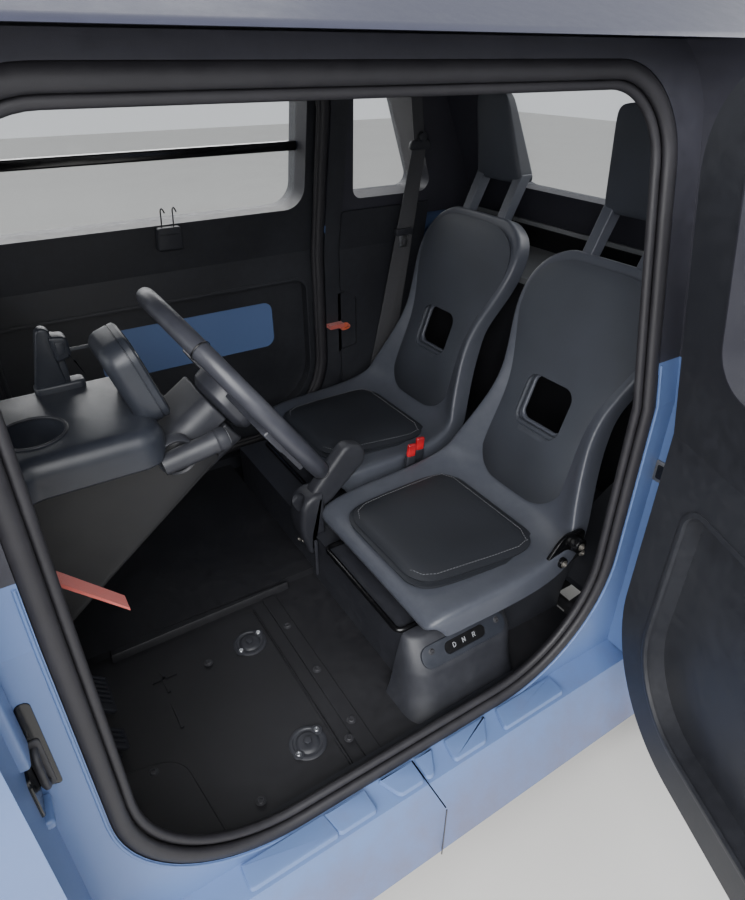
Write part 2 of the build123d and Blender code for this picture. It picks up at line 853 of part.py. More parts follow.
def front_suspension():
    """Left lower arm with its ball pin, and the strut that holds the kingpin top."""
    arm = prism("z", [(half_wheelbase - 22, ball_joint_y + 16, 14),
                      (half_wheelbase + 22, ball_joint_y + 16, 14),
                      (half_wheelbase + 120, rail_y + rail_width / 2, 0),
                      (half_wheelbase - 120, rail_y + rail_width / 2, 0)], 178, 194)
    arm = arm - prism("z", [(half_wheelbase, ball_joint_y - 60, 10),
                            (half_wheelbase + 78, rail_y + 45, 10),
                            (half_wheelbase - 78, rail_y + 45, 10)], 170, 200)
    pin = kingpin_bar(10, -8, 29)
    bracket = block(half_wheelbase - 120, half_wheelbase + 120, rail_y - rail_width / 2,
                    rail_y + rail_width / 2, 178, floor_height - floor_thickness - rail_height)
    tower = arch(arch_radius, arch_inner + arch_wall, half_width, half_wheelbase)
    strut = kingpin_bar(19, 183, 450) - kingpin_bar(15 + running_gap, 180, 242)
    spring = kingpin_bar(44, 340, 372)
    return arm + pin + bracket, (strut + spring) & tower


def rear_axle():
    beam = rod("y", (-half_wheelbase + 60, 180), 26, -rear_arm_y, rear_arm_y)
    arm = prism("y", [(-half_wheelbase - 40, 235, 20), (-half_wheelbase - 40, 315, 20),
                      (-600, 262, 15), (-600, 205, 15), (-half_wheelbase + 60, 150, 20)],
                rear_arm_y - 15, rear_arm_y + 15)
    pivot = rod("y", (-620, 235), 14, rail_y + rail_width / 2, rear_arm_y)
    stub = rod("y", (-half_wheelbase, axle_height), stub_radius, rear_arm_y, wheel_centre_y + 28)
    hub = rod("y", (-half_wheelbase, axle_height), 44, rear_arm_y + 15, wheel_centre_y - 36)
    strut = rod("z", (-half_wheelbase, rear_arm_y), 22, 300, axle_height + arch_radius + 40)
    strut = strut & arch(arch_radius, arch_inner + arch_wall, half_width, -half_wheelbase)
    return beam + pair(arm + stub + hub + strut + pivot)


def eye_height():
    return floor_height - floor_thickness - rail_height / 2


def chassis_frame():
    """Two long rails and their crossmembers, with towing bosses and jacking pads."""
    low = floor_height - floor_thickness - rail_height
    top = floor_height - floor_thickness
    half_cross = cross_width / 2
    frame = None
    for y in (-rail_y, rail_y):
        rail = block(-rail_end, rail_end, y - rail_width / 2, y + rail_width / 2, low, top)
        frame = rail if frame is None else frame + rail
    end = rail_end - cross_inset
    for x in (-end, -480, 0, 470, half_wheelbase - 90, half_wheelbase + 90, end):
        frame = frame + block(x - half_cross, x + half_cross, -rail_y, rail_y, low, top)
    for x in (-jack_x, jack_x):
        frame = frame + block(x - half_cross, x + half_cross, -inner_plane + 20,
                              inner_plane - 20, low, top)
        for y in (-jack_y, jack_y):
            pad = block(x - half_cross, x + half_cross, y - jack_pad / 2, y + jack_pad / 2,
                        low - jack_drop, low)
            frame = frame + pad
    boss = rod("x", (rail_y, eye_height()), eye_boss, rail_end - 5, eye_tip)
    bore = rod("x", (rail_y, eye_height()), eye_bore, eye_tip - eye_depth, eye_tip + 1)
    frame = frame + boss + half_turn(boss)
    return frame - bore - half_turn(bore)


def cabin_linings():
    """Moulded side linings behind the doors and beside the feet, on both sides."""
    low = rebate_bottom + 2
    rear = prism("y", [(-lining_edge, low), (-lining_edge, notch_low - 8, 8),
                       (-lining_edge - notch_depth, notch_low, 12),
                       (-lining_edge - notch_depth, notch_high, 12),
                       (-lining_edge, notch_high + notch_slope, 12), (-lining_edge, lining_top, 12),
                       (-bulkhead_x + 1, lining_top), (-bulkhead_x + 1, low)], 0, half_width)
    front = prism("y", [(lining_edge, low), (lining_edge, toe_mid_height - 60),
                        (toe_mid - 8, toe_mid_height + 10), (toe_top - 2, toe_mid_height + 62),
                        (toe_top - 2, dash_low - 2), (lining_edge, dash_low - 2)], 0, half_width)
    wall = side_layer(lining_face, inner_plane - lining_gap, -bulkhead_x, toe_top, low, lining_top)
    panels = (rear + front) & wall
    return pair(panels - arch(arch_radius + arch_wall + 1, 0, 800, -half_wheelbase)
                - arch(arch_radius + arch_wall + 1, 0, 800, half_wheelbase))


def mirrors(form):
    arm = prism("z", [(600, 640, 0), (640, 640, 0), (630, 720, 0), (605, 720, 0)], 955, 985)
    head = prism("x", [(700, 950, 25), (785, 950, 25), (785, 1080, 25), (700, 1080, 25)],
                 590, 640)
    return pair((arm + head) - form)


def belts():
    """Shoulder belt each side: anchor on the wheel arch, webbing and upper guide."""
    x0, y0, z0 = belt_low
    x1, y1, z1 = belt_high
    half = belt_width / 2
    flat = prism("x", [(y0 - belt_web, z0), (y0, z0), (y1, z1), (y1 - belt_web, z1)], -900, -500)
    run = prism("y", [(x0 - half, z0), (x0 + half, z0), (x1 + half, z1), (x1 - half, z1)],
                400, inner_plane)
    anchor = block(x0 - anchor_plate[0] / 2, x0 + anchor_plate[0] / 2, y0 - 12, y0,
                   z0 - anchor_plate[1], z0 + 8)
    lower = (flat & run) + anchor
    lower = lower - arch(arch_radius + arch_wall, arch_inner, half_width, -half_wheelbase)
    guide = block(x1 - guide_size[0] / 2, x1 + guide_size[0] / 2, y1 - 25, inner_plane,
                  z1 - 12, z1 + guide_size[1] - 12)
    guide = guide & side_layer(inner_plane - 22, inner_plane, -900, -700, 1100, 1300)
    return pair(lower + guide)


def buckles():
    """Two belt buckles on stalks between the seats."""
    made = []
    for x, y, lean in ((-352, 8, 18), (-400, -8, 26)):
        head = Pos(0, 0, 118) * Box(26, 13, 44)
        stalk = Pos(0, 0, 48) * Box(14, 5, 100)
        made.append(Pos(x, y, plinth_height) * Rot(0, lean, 0) * (head + stalk))
    floor = block(-half_length, half_length, -100, 100, 0, plinth_height)
    return (made[0] - floor) + (made[1] - floor)


def pull_straps():
    """Webbing loops beside each door: one on the rear post, one under the dash end."""
    far = block(-523, -473, -inner_plane, -inner_plane + 26, 694, 706)
    near = prism("y", [(452, dash_low), (378, 866), (378, 862), (458, dash_low)], 488, 512)
    return far + (near & block(0, 460, 0, 600, 0, dash_low))


def handbrake():
    """Lever and its housing on the front edge of the plinth, between the seats."""
    base = prism("y", [(-126, plinth_height, 0), (plinth_front, plinth_height, 0),
                       (plinth_front, plinth_height - 60, 0),
                       (plinth_front + 16, plinth_height - 60, 6),
                       (plinth_front + 36, 470, 20), (-70, 536, 16), (-126, 548, 12)], -22, 50)
    lever = prism("y", [(-92, 520, 0), (-112, 546, 0), (-232, 652, 8), (-248, 634, 8),
                        (-128, 520, 8)], 0, 28)
    return base + lever


def pedals():
    """Two pedals on arms that stand off the sloping toe board."""
    both = []
    for y in (seat_y - 65, seat_y + 45):
        pad = prism("y", [(438, 366, 3), (448, 362, 3), (473, 428, 3), (463, 432, 3)],
                    y - 24, y + 24)
        arm = prism("y", [(456, 412), (466, 396), (toe_mid + 15, toe_mid_height + 15),
                          (toe_mid + 31, toe_mid_height + 31), (552, 560)], y - 6, y + 6)
        both.append(pad + arm)
    return both[0] + both[1] - floor_tub()


def dash_clamp():
    """Two-jawed holder at the far edge of the dash shelf."""
    low = dash_top - 1
    near = dash_far + 36
    lug = prism("y", [(396, low, 0), (350, low, 0), (358, 1064, 30), (357, 1098, 7),
                      (373, 1101, 7)], dash_far + 12, near - 6)
    jaw = prism("y", [(359, 1088, 5), (338, 1084, 5), (338, 1056, 5), (358, 1050, 5)],
                dash_far + 12, near + 4)
    base = block(330, 392, dash_far + 6, near + 4, low, dash_top + 10)
    return base + lug + jaw - dashboard() - instrument_pod()


def wiper():
    """Wiper arm and blade lying on the windscreen frame."""
    slope = (cowl_x - header_x) / (header_height - belt_height)
    arm = prism("y", [(cowl_x - slope * rise + out, belt_height + rise)
                      for rise, out in ((90, -2), (90, 14), (440, 14), (440, -2))], -8, 8)
    return arm - body_form(0, 0, 0)


def rear_shelf():
    """Load shelf behind the seats, turned up at the back to a ledge under the glass."""
    top = bulkhead_height + shelf_thickness
    ledge_x = shelf_rear - (ledge_height - top) * 0.75
    board = prism("y", [(-bulkhead_x, bulkhead_height), (-bulkhead_x, top), (-shelf_rear + shelf_fold, top),
                        (-ledge_x + ledge_depth, ledge_height),
                        (-ledge_x + ledge_depth, ledge_height + 12), (-ledge_x, ledge_height + 12),
                        (-shelf_rear, bulkhead_height)], -shelf_half, shelf_half)
    return board


def main():
    form = body_form(0, 0, 0)
    hollow = body_form(skin, skin, skin)
    made = {}
    front = shell_end(form, hollow)
    front = front - bumper_zone() - lamps()
    made["front_body"] = front & nose_zone()
    made["rear_body"] = half_turn(made["front_body"])
    made["front_fenders"] = front - nose_zone()
    made["rear_fenders"] = half_turn(made["front_fenders"])
    bumper = (form - body_form(60, 60, 60)) & bumper_zone()
    bumper = bumper - pair(arch(arch_radius + arch_wall, arch_inner, 800, half_wheelbase))
    bumper = bumper - rod("x", (rail_y, eye_height()), eye_access, rail_end, half_length + 20)
    made["bumpers"] = bumper + half_turn(bumper)
    lamp = lamps() & form & block(half_length - 90, half_length + 10, -half_width, half_width,
                                  0, roof_height)
    made["front_lamps"] = lamp
    made["rear_lamps"] = half_turn(lamp)
    frame = pair(side_frame(form))
    made["side_frames_front"] = frame
    made["side_frames_rear"] = half_turn(frame)
    made["greenhouse"] = greenhouse(form)
    made["roof"] = roof(form)
    made["windscreen"] = windscreen()
    made["rear_window"] = rear_glass()
    made["quarter_windows"] = quarter_glass()
    made["door_seals"] = pair(seal_ring())
    for name, piece in zip(("shell", "trim", "glass"), door_pieces(form)):
        made["door_left_" + name] = swing_open(piece)
        made["door_right_" + name] = half_turn(piece)
    made["door_hinges"] = hinge_brackets() + half_turn(hinge_brackets())
    made["mirrors"] = mirrors(form)
    made["wiper"] = wiper()

    made["floor_tub"] = floor_tub()
    made["seat_plinth"] = seat_plinth()
    made["drive_selector"] = drive_selector()
    cushion, back = seat_pads()
    made["seat_shells"] = both_seats(seat_shell())
    made["seat_pads"] = both_seats(cushion + back)
    made["headrests"] = both_seats(headrest())
    made["seat_rails"] = both_seats(seat_rail())
    made["belts"] = belts()
    made["buckles"] = buckles()
    made["pull_straps"] = pull_straps()
    made["handbrake"] = handbrake()
    made["pedals"] = pedals()
    made["rear_shelf"] = rear_shelf()
    made["dashboard"] = dashboard()
    made["instrument_pod"] = instrument_pod()
    made["dash_clamp"] = dash_clamp()
    made["steering_column"] = steering_column()
    made["steering_wheel"] = steering_wheel()

    made["chassis_frame"] = chassis_frame()
    made["battery_block"] = block(-620, -150, -230, 230, floor_height, plinth_height - 20)
    made["motor_block"] = block(half_wheelbase - 120, half_wheelbase + 130, -220, 60, 275, 470)
    arms, struts = front_suspension()
    made["front_suspension"] = pair(arms) + pair(struts)
    made["rear_axle"] = rear_axle()
    made["cabin_linings"] = cabin_linings()
    made["knuckle_left"] = knuckle()
    made["knuckle_right"] = mirrored(knuckle())
    for name, x, side in (("fl", half_wheelbase, 1), ("fr", half_wheelbase, -1),
                          ("rl", -half_wheelbase, 1), ("rr", -half_wheelbase, -1)):
        made["tyre_" + name] = tyre(x, side)
        made["rim_" + name] = rim(x, side)

    for node, shape in made.items():
        export_step(shape, "parts/" + node + ".step")


main()
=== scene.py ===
import bpy
import bmesh
from math import cos, pi, radians, sin
from mathutils import Matrix, Vector


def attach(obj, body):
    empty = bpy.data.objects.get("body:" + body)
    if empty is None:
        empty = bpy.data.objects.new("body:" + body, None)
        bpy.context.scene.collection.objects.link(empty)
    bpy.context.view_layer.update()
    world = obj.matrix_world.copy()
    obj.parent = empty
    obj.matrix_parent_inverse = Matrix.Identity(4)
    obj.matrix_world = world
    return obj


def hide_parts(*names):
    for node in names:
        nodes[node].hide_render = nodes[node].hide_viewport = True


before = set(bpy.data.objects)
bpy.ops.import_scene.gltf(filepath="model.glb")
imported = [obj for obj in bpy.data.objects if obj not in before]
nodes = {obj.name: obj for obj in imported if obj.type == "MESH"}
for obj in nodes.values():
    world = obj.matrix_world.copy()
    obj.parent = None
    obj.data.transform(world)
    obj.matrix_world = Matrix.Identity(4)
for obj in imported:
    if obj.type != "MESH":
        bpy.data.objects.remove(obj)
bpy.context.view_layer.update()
print("frame loaded:", len(nodes), "nodes")

# camera, from the photograph: place in metres, the three view directions, lens in millimetres
view = {
    "place": (0.42733, 1.12849, 1.43033), "right": (-0.8451, 0.5347, 0.0031),
    "down": (0.2808, 0.4486, -0.8485), "forward": (-0.4550, -0.7161, -0.5292),
    "lens": 25.55, "sensor": 36, "near": 0.01,
}


def linked(name, data):
    made = bpy.data.objects.new(name, data)
    bpy.context.collection.objects.link(made)
    return made


def makeCamera():
    data = bpy.data.cameras.new("photoCamera")
    data.sensor_width = view["sensor"]
    data.lens = view["lens"]
    data.clip_start = view["near"]
    camera = linked("photoCamera", data)
    turn = Matrix((view["right"], [-c for c in view["down"]], [-c for c in view["forward"]]))
    camera.matrix_world = Matrix.Translation(view["place"]) @ turn.transposed().to_4x4()
    bpy.context.scene.camera = camera


makeCamera()
print("camera placed")

finishes = {}


class Signal:
    # one socket; arithmetic on it adds Math nodes to its tree
    def __init__(self, tree, socket):
        self.tree = tree
        self.socket = socket

    def join(self, operation, first, second):
        node = self.tree.nodes.new("ShaderNodeMath")
        node.operation = operation
        for slot, value in zip(node.inputs, (first, second)):
            if isinstance(value, Signal):
                self.tree.links.new(value.socket, slot)
            else:
                slot.default_value = value
        return Signal(self.tree, node.outputs[0])

    def __add__(self, other):
        return self.join("ADD", self, other)

    def __radd__(self, other):
        return self.join("ADD", other, self)

    def __sub__(self, other):
        return self.join("SUBTRACT", self, other)

    def __mul__(self, other):
        return self.join("MULTIPLY", self, other)


def tone(red, green, blue):
    # display values 0-255 to the linear colour that a socket takes
    return (*[((c / 255 + 0.055) / 1.055) ** 2.4 if c > 10 else c / 255 / 12.92
              for c in (red, green, blue)], 1)


class Finish:
    # one material with its node tree and its main shader
    def __init__(self, name, slot, **fixed):
        self.material = bpy.data.materials.new(name)
        self.material.use_nodes = True
        self.slot = slot
        self.tree = self.material.node_tree
        self.shader = self.tree.nodes["Principled BSDF"]
        for key, value in fixed.items():
            self.shader.inputs[key.replace("_", " ")].default_value = value
        finishes[name] = self

    def node(self, kind, settings=None, values=None, out=0):
        made = self.tree.nodes.new(kind)
        for key, value in (settings or {}).items():
            if key == "stops":
                for stop, place in zip(made.color_ramp.elements, value):
                    stop.position = place
            else:
                setattr(made, key, value)
        for key, value in (values or {}).items():
            slot = made.inputs[key]
            if isinstance(value, Signal):
                self.tree.links.new(value.socket, slot)
            else:
                slot.default_value = value
        return Signal(self.tree, made.outputs[out])

    def feed(self, name, signal):
        self.tree.links.new(signal.socket, self.shader.inputs[name])

    def place(self, scale=(1, 1, 1)):
        coords = self.node("ShaderNodeTexCoord", out=3)
        return self.node("ShaderNodeMapping", values={"Vector": coords, "Scale": scale})

    def along(self, axis):
        # the place on one axis, in metres
        return self.node("ShaderNodeSeparateXYZ", values={"Vector": self.place()}, out=axis)

    def noise(self, scale, detail=3, rough=0.55, where=None):
        return self.node("ShaderNodeTexNoise", values={
            "Scale": scale, "Detail": detail, "Roughness": rough, "Vector": where or self.place()})

    def cells(self, feature, **values):
        return self.node("ShaderNodeTexVoronoi", {"feature": feature},
                         {"Vector": self.place(), **values})

    def bands(self, settings, **values):
        return self.node("ShaderNodeTexWave", settings, {"Vector": self.place(), **values})

    def fade(self, signal, low, high):
        # black up to low, white from high
        return self.node("ShaderNodeValToRGB", {"stops": (low, high)}, {0: signal})

    def ease(self, signal, low, high):
        return self.node("ShaderNodeMapRange", {"interpolation_type": "SMOOTHSTEP"},
                         {"Value": signal, "From Min": low, "From Max": high})

    def mix(self, factor, first, second):
        # each colour is a signal or display values
        ends = [end if isinstance(end, Signal) else tone(*end) for end in (first, second)]
        return self.node("ShaderNodeMix", {"data_type": "RGBA"},
                         {0: factor, 6: ends[0], 7: ends[1]}, out=2)

    def look(self, colour, rough, height, strength, distance):
        # the three inputs that vary on every finish
        self.feed("Base Color", colour)
        self.feed("Roughness", rough)
        self.feed("Normal", self.node("ShaderNodeBump", values={
            "Strength": strength, "Distance": distance, "Height": height}))


mouldedLook = {
    # name: (slot, colour, dusty colour, roughness, grain size, grain depth)
    "cabinPlastic": ("cabin_plastic", (40, 41, 47), (70, 72, 78), 0.44, 900, 0.22),
    "dashPlastic": ("cabin_plastic", (38, 41, 49), (62, 66, 74), 0.34, 850, 0.20),
    "doorPlastic": ("cabin_plastic", (36, 37, 42), (64, 66, 72), 0.40, 800, 0.22),
    "floorPlastic": ("cabin_plastic", (23, 23, 27), (52, 52, 56), 0.50, 600, 0.30),
    # painted shade: a darker copy of the cabin plastic, for the shade on the dash walls over the
    # footwells
    "shadedFootwellPlastic": ("cabin_plastic", (15, 15, 18), (36, 36, 40), 0.50, 600, 0.30),
    "seatPlastic": ("seat_plastic", (68, 71, 80), (92, 96, 104), 0.36, 900, 0.16),
    "outerPlastic": ("outer_plastic", (42, 42, 50), (70, 70, 80), 0.50, 700, 0.25),
    "roofPlastic": ("roof_plastic", (40, 42, 58), (58, 60, 76), 0.42, 700, 0.15),
    "wheelGrip": ("wheel_grip", (48, 49, 56), (74, 76, 84), 0.34, 700, 0.10),
    "blackGloss": ("cabin_plastic", (12, 12, 14), (30, 30, 32), 0.16, 400, 0.03),
    "greyMark": ("cabin_plastic", (150, 152, 156), (176, 178, 182), 0.50, 500, 0.05),
    "shelfPlastic": ("cabin_plastic", (112, 114, 118), (140, 141, 144), 0.55, 900, 0.30),
    "seal": ("seal_rubber", (34, 33, 37), (58, 57, 62), 0.50, 500, 0.20),
}


def mouldedFinish(name):
    slot, colour, dusty, rough, grain, depth = mouldedLook[name]
    made = Finish(name, slot)
    cells = made.cells("DISTANCE_TO_EDGE", Scale=grain)
    broad = made.noise(3.1, 4)
    fine = made.noise(46, 5, 0.7)
    dust = made.fade(broad * 0.6 + fine * 0.4, 0.42, 0.78)
    made.look(made.mix(dust * 0.5, colour, dusty), rough - 0.06 + fine * 0.16 + dust * 0.10, cells,
              depth, 0.0004)


paintLook = {
    "darker": (88, 112, 158), "lighter": (102, 126, 171), "grime": (112, 98, 92),
    # road dirt grows from the first height down to the second, in metres
    "dirtSpan": (0.46, 0.20),
    # the cabin side of the shell stays dark: axis, half size, lean above the wall's bend
    "cabin": ((0, 1.08, 0), (1, 0.5885, 0.18), (2, 0.985, 0)), "bend": 0.93, "inner": (32, 33, 38),
}


def bodyPaintFinish():
    made = Finish("bodyPaint", "body_paint", Coat_Weight=0.12)
    peel = made.noise(420, 2)
    cloud = made.noise(2.2, 4)
    height = made.along(2)
    low = made.ease(height, *paintLook["dirtSpan"])
    grime = made.fade(made.noise(14, 6, 0.7) * 0.6 + low * 0.5, 0.52, 0.86)
    base = made.mix(cloud, paintLook["darker"], paintLook["lighter"])
    outer = made.mix(grime * 0.5, base, paintLook["grime"])
    above = height.join("MAXIMUM", height - paintLook["bend"], 0.0)
    inner = None
    for axis, limit, lean in paintLook["cabin"]:
        size = height.join("ABSOLUTE", made.along(axis), 0.0) + above * lean
        near = height.join("LESS_THAN", size, limit)
        inner = near if inner is None else inner * near
    made.look(made.mix(inner, outer, paintLook["inner"]), 0.36 + peel * 0.06 + grime * 0.25, peel,
              0.06, 0.0005)


def glassFinish():
    made = Finish("clearGlass", "clear_glass", Roughness=0.02, IOR=1.45, Alpha=0.16,
                  Base_Color=tone(196, 204, 206))
    made.feed("Roughness", 0.01 + made.noise(5, 5, 0.7) * 0.05)


def tyreFinish():
    made = Finish("tyreRubber", "tyre")
    fine = made.noise(90, 5, 0.7)
    dust = made.fade(made.noise(9, 4), 0.4, 0.8)
    made.look(made.mix(dust * 0.5, (26, 26, 27), (58, 56, 54)), 0.66 + fine * 0.2, fine, 0.3, 0.0006)


def metalFinish(name, slot, colour, rough, metallic):
    made = Finish(name, slot, Metallic=metallic)
    streak = made.noise(60, 4, 0.6, made.place((1, 1, 9)))
    made.look(made.mix(streak, colour, [min(255, c + 22) for c in colour]), rough + streak * 0.16,
              streak, 0.05, 0.0004)


def coverFinish():
    made = Finish("padCover", "seat_cover")
    knit = made.cells("F1", Scale=1250, Randomness=0.35)
    broad = made.noise(6, 4)
    # painted light and shade: the pads low down are painted darker, and the backs and headrests higher
    # up lighter, for the light that falls on them
    upper = made.ease(made.along(2), 0.53, 0.70)
    low = made.mix(broad, (26, 28, 33), (40, 43, 50))
    high = made.mix(broad, (44, 47, 54), (62, 66, 75))
    made.look(made.mix(upper, low, high), 0.52 + broad * 0.14, knit, 0.30, 0.0005)


def webbingFinish(name, slot, colour, light):
    made = Finish(name, slot, Sheen_Weight=0.25)
    across = made.bands({"wave_type": "BANDS", "bands_direction": "DIAGONAL"}, Scale=380, Distortion=0.4)
    wear = made.noise(12, 4)
    made.look(made.mix(across * 0.6 + wear * 0.3, colour, light), 0.62 + wear * 0.2, across, 0.5, 0.0006)


def lampFinish(name, slot, colour, alpha):
    made = Finish(name, slot, Roughness=0.08, Alpha=alpha, Coat_Weight=0.5)
    ribs = made.bands({"wave_type": "RINGS"}, Scale=9)
    made.feed("Base Color", made.mix(ribs, colour, [int(c * 0.8) for c in colour]))
    made.feed("Roughness", 0.06 + ribs * 0.08)


for name in mouldedLook:
    mouldedFinish(name)
bodyPaintFinish()
glassFinish()
tyreFinish()
coverFinish()
metalFinish("darkSteel", "chassis_steel", (46, 46, 50), 0.42, 0.3)
metalFinish("zincSteel", "chassis_steel", (148, 144, 138), 0.34, 0.9)
metalFinish("brightSteel", "belt_webbing", (176, 178, 182), 0.22, 0.95)
metalFinish("rimSteel", "rim_steel", (70, 72, 78), 0.34, 0.5)
webbingFinish("beltWeave", "belt_webbing", (42, 42, 46), (72, 72, 78))
webbingFinish("strapWeave", "strap_webbing", (172, 68, 62), (206, 104, 92))
webbingFinish("orangeWeave", "strap_webbing", (196, 66, 34), (226, 104, 60))
webbingFinish("thread", "seat_cover", (82, 84, 90), (104, 106, 112))
lampFinish("lampClear", "lamp_lens", (214, 218, 222), 0.9)
lampFinish("lampRed", "lamp_lens", (150, 20, 18), 1.0)
lampFinish("buttonRed", "strap_webbing", (206, 36, 44), 1.0)
print("finishes:", len(finishes))


def spot(axis, u, v, w):
    # millimetres on a working plane to metres in the vehicle's frame
    order = {"x": (w, u, v), "y": (u, w, v), "z": (u, v, w)}[axis]
    return Vector(order) * 0.001


def pane(u0, v0, u1, v1, reach=0):
    # rows of a rectangle
    return [(u0, v0, reach), (u1, v0, reach), (u1, v1, reach), (u0, v1, reach)]


def flared(u, v, low, high):
    # rows of a piece that widens or narrows upwards; low and high are (half width, up, reach)
    return [(u - low[0], v + low[1], low[2]), (u + low[0], v + low[1], low[2]),
            (u + high[0], v + high[1], high[2]), (u - high[0], v + high[1], high[2])]


def oval(u, v, halfU, halfV, steps):
    return [(u + halfU * cos(2 * pi * k / steps), v + halfV * sin(2 * pi * k / steps))
            for k in range(steps)]


def vertsOf(geom):
    return [g for g in geom if isinstance(g, bmesh.types.BMVert)]


def outline(bm, rows, axis, level, segments=8):
    # flat face from (u, v, reach) rows; reach is how far the rounding runs from a corner
    corners = [bm.verts.new(spot(axis, row[0], row[1], level)) for row in rows]
    bm.faces.new(corners)
    for corner, row in zip(corners, rows):
        if len(row) > 2 and row[2]:
            bmesh.ops.bevel(bm, geom=[corner], offset=row[2] * 0.001, segments=segments,
                            profile=0.5, affect="VERTICES", material=-1)


def outlinePoints(rows, axis, level, segments=8):
    flat = bmesh.new()
    outline(flat, rows, axis, level, segments)
    points = [vert.co.copy() for vert in flat.faces[:][0].verts]
    flat.free()
    return points


def slab(rows, axis, low, high, segments=8):
    # an outline pulled along one axis
    bm = bmesh.new()
    outline(bm, rows, axis, low, segments)
    top = bmesh.ops.extrude_face_region(bm, geom=bm.faces[:])
    bmesh.ops.translate(bm, vec=spot(axis, 0, 0, high - low), verts=vertsOf(top["geom"]))
    bmesh.ops.recalc_face_normals(bm, faces=bm.faces)
    return bm


def sewn(bm):
    # doubled corners merged, faces outwards
    bmesh.ops.remove_doubles(bm, verts=bm.verts, dist=1e-6)
    bmesh.ops.recalc_face_normals(bm, faces=bm.faces)
    return bm


def turnedPiece(rows, steps=48):
    # a section of (radius, height) rows spun round Z, in millimetres; one that starts on the
    # axis stays open there
    bm = bmesh.new()
    verts = [bm.verts.new((row[0] * 0.001, 0, row[1] * 0.001)) for row in rows]
    edges = [bm.edges.new(two) for two in zip(verts, verts[1:])]
    if rows[0][0]:
        edges.append(bm.edges.new((verts[-1], verts[0])))
    bmesh.ops.spin(bm, geom=verts + edges, cent=(0, 0, 0), axis=(0, 0, 1), angle=2 * pi,
                   steps=steps, use_merge=True)
    return sewn(bm)


def moved(bm, place=(0, 0, 0), turns=()):
    # turn about the origin by (axis letter, degrees) steps, then move, in millimetres
    for axis, degrees in turns:
        bmesh.ops.rotate(bm, cent=(0, 0, 0), matrix=Matrix.Rotation(radians(degrees), 3, axis),
                         verts=bm.verts)
    bmesh.ops.translate(bm, vec=Vector(place) * 0.001, verts=bm.verts)
    return bm


def meshFrom(bm, name):
    mesh = bpy.data.meshes.new(name)
    bm.to_mesh(mesh)
    bm.free()
    return mesh


def joined(parts):
    # several bmeshes into one
    whole = bmesh.new()
    for part in parts:
        mesh = meshFrom(part, "part")
        whole.from_mesh(mesh)
        bpy.data.meshes.remove(mesh)
    return whole


def otherSide(bm):
    # mirrored copy across the centreline, faces kept outwards
    copy = bm.copy()
    bmesh.ops.scale(copy, vec=(1, -1, 1), verts=copy.verts)
    bmesh.ops.reverse_faces(copy, faces=copy.faces)
    return copy


def halfTurned(bm):
    copy = bm.copy()
    bmesh.ops.rotate(copy, cent=(0, 0, 0), matrix=Matrix.Rotation(pi, 3, "Z"), verts=copy.verts)
    return copy


# rounded edges: steps of each, and the least angle in degrees of an edge that gets one
rims = {"steps": 3, "angle": 32}


def finished(name, made, finish, body="chassis", replaces=(), rim=0, smooth=35):
    # a bmesh, or a list of them, to a placed, shaded piece on its body; edges over the smooth
    # angle stay sharp, and rim is the width of rounded ones
    mesh = meshFrom(joined(made) if isinstance(made, list) else made, name)
    piece = linked(name, mesh)
    mesh.materials.append(finishes[finish].material)
    mesh.shade_smooth()
    mesh.set_sharp_from_angle(angle=radians(smooth))
    if rim:
        bevel = piece.modifiers.new("rim", "BEVEL")
        bevel.width = rim * 0.001
        bevel.segments = rims["steps"]
        bevel.limit_method = "ANGLE"
        bevel.angle_limit = radians(rims["angle"])
        bevel.harden_normals = True
    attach(piece, body)
    if replaces:
        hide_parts(*replaces)
    return piece


def takenFrom(holder):
    # an object's finished mesh as a bmesh; the object goes
    mesh = bpy.data.meshes.new_from_object(holder.evaluated_get(bpy.context.evaluated_depsgraph_get()))
    bpy.data.objects.remove(holder)
    bm = bmesh.new()
    bm.from_mesh(mesh)
    bpy.data.meshes.remove(mesh)
    return bm


def solidOf(bm, wall=0, rounds=0, cutter=None):
    # runs finishing modifiers at once and gives the resulting mesh back
    holder = linked("working", meshFrom(bm, "working"))
    if rounds:
        sub = holder.modifiers.new("rounds", "SUBSURF")
        sub.levels = rounds
        sub.render_levels = rounds
    if wall:
        solid = holder.modifiers.new("wall", "SOLIDIFY")
        solid.thickness = wall * 0.001
        solid.offset = -1
    if cutter:
        cut = holder.modifiers.new("cut", "BOOLEAN")
        cut.operation = "DIFFERENCE"
        cut.solver = "EXACT"
        cut.object = linked("cutter", meshFrom(cutter, "cutter"))
        cutter = cut.object
    bpy.context.view_layer.update()
    made = takenFrom(holder)
    if cutter:
        bpy.data.objects.remove(cutter)
    return made


def tube(points, radius, steps, smooth=False):
    # a round bar in millimetres: a closed ring through points, or a smooth open line near them
    data = bpy.data.curves.new("tube", "CURVE")
    data.dimensions = "3D"
    data.bevel_depth = radius * 0.001
    data.bevel_resolution = steps
    line = data.splines.new("NURBS" if smooth else "POLY")
    line.points.add(len(points) - 1)
    for slot, point in zip(line.points, points):
        slot.co = (*[c * 0.001 for c in point], 1)
    if smooth:
        data.resolution_u = 10
        data.use_fill_caps = True
        line.order_u = 3
        line.use_endpoint_u = True
    else:
        line.use_cyclic_u = True
    return sewn(takenFrom(linked("tube", data)))


# height in millimetres at which the side walls start to lean in, and how much for each one up
wallBend = 930
wallLean = 0.18


def onWall(bm):
    # lean a piece modelled on an upright side wall in with the wall's upper part
    for vert in bm.verts:
        vert.co.y -= wallLean * max(0, vert.co.z - wallBend * 0.001)
    return bm


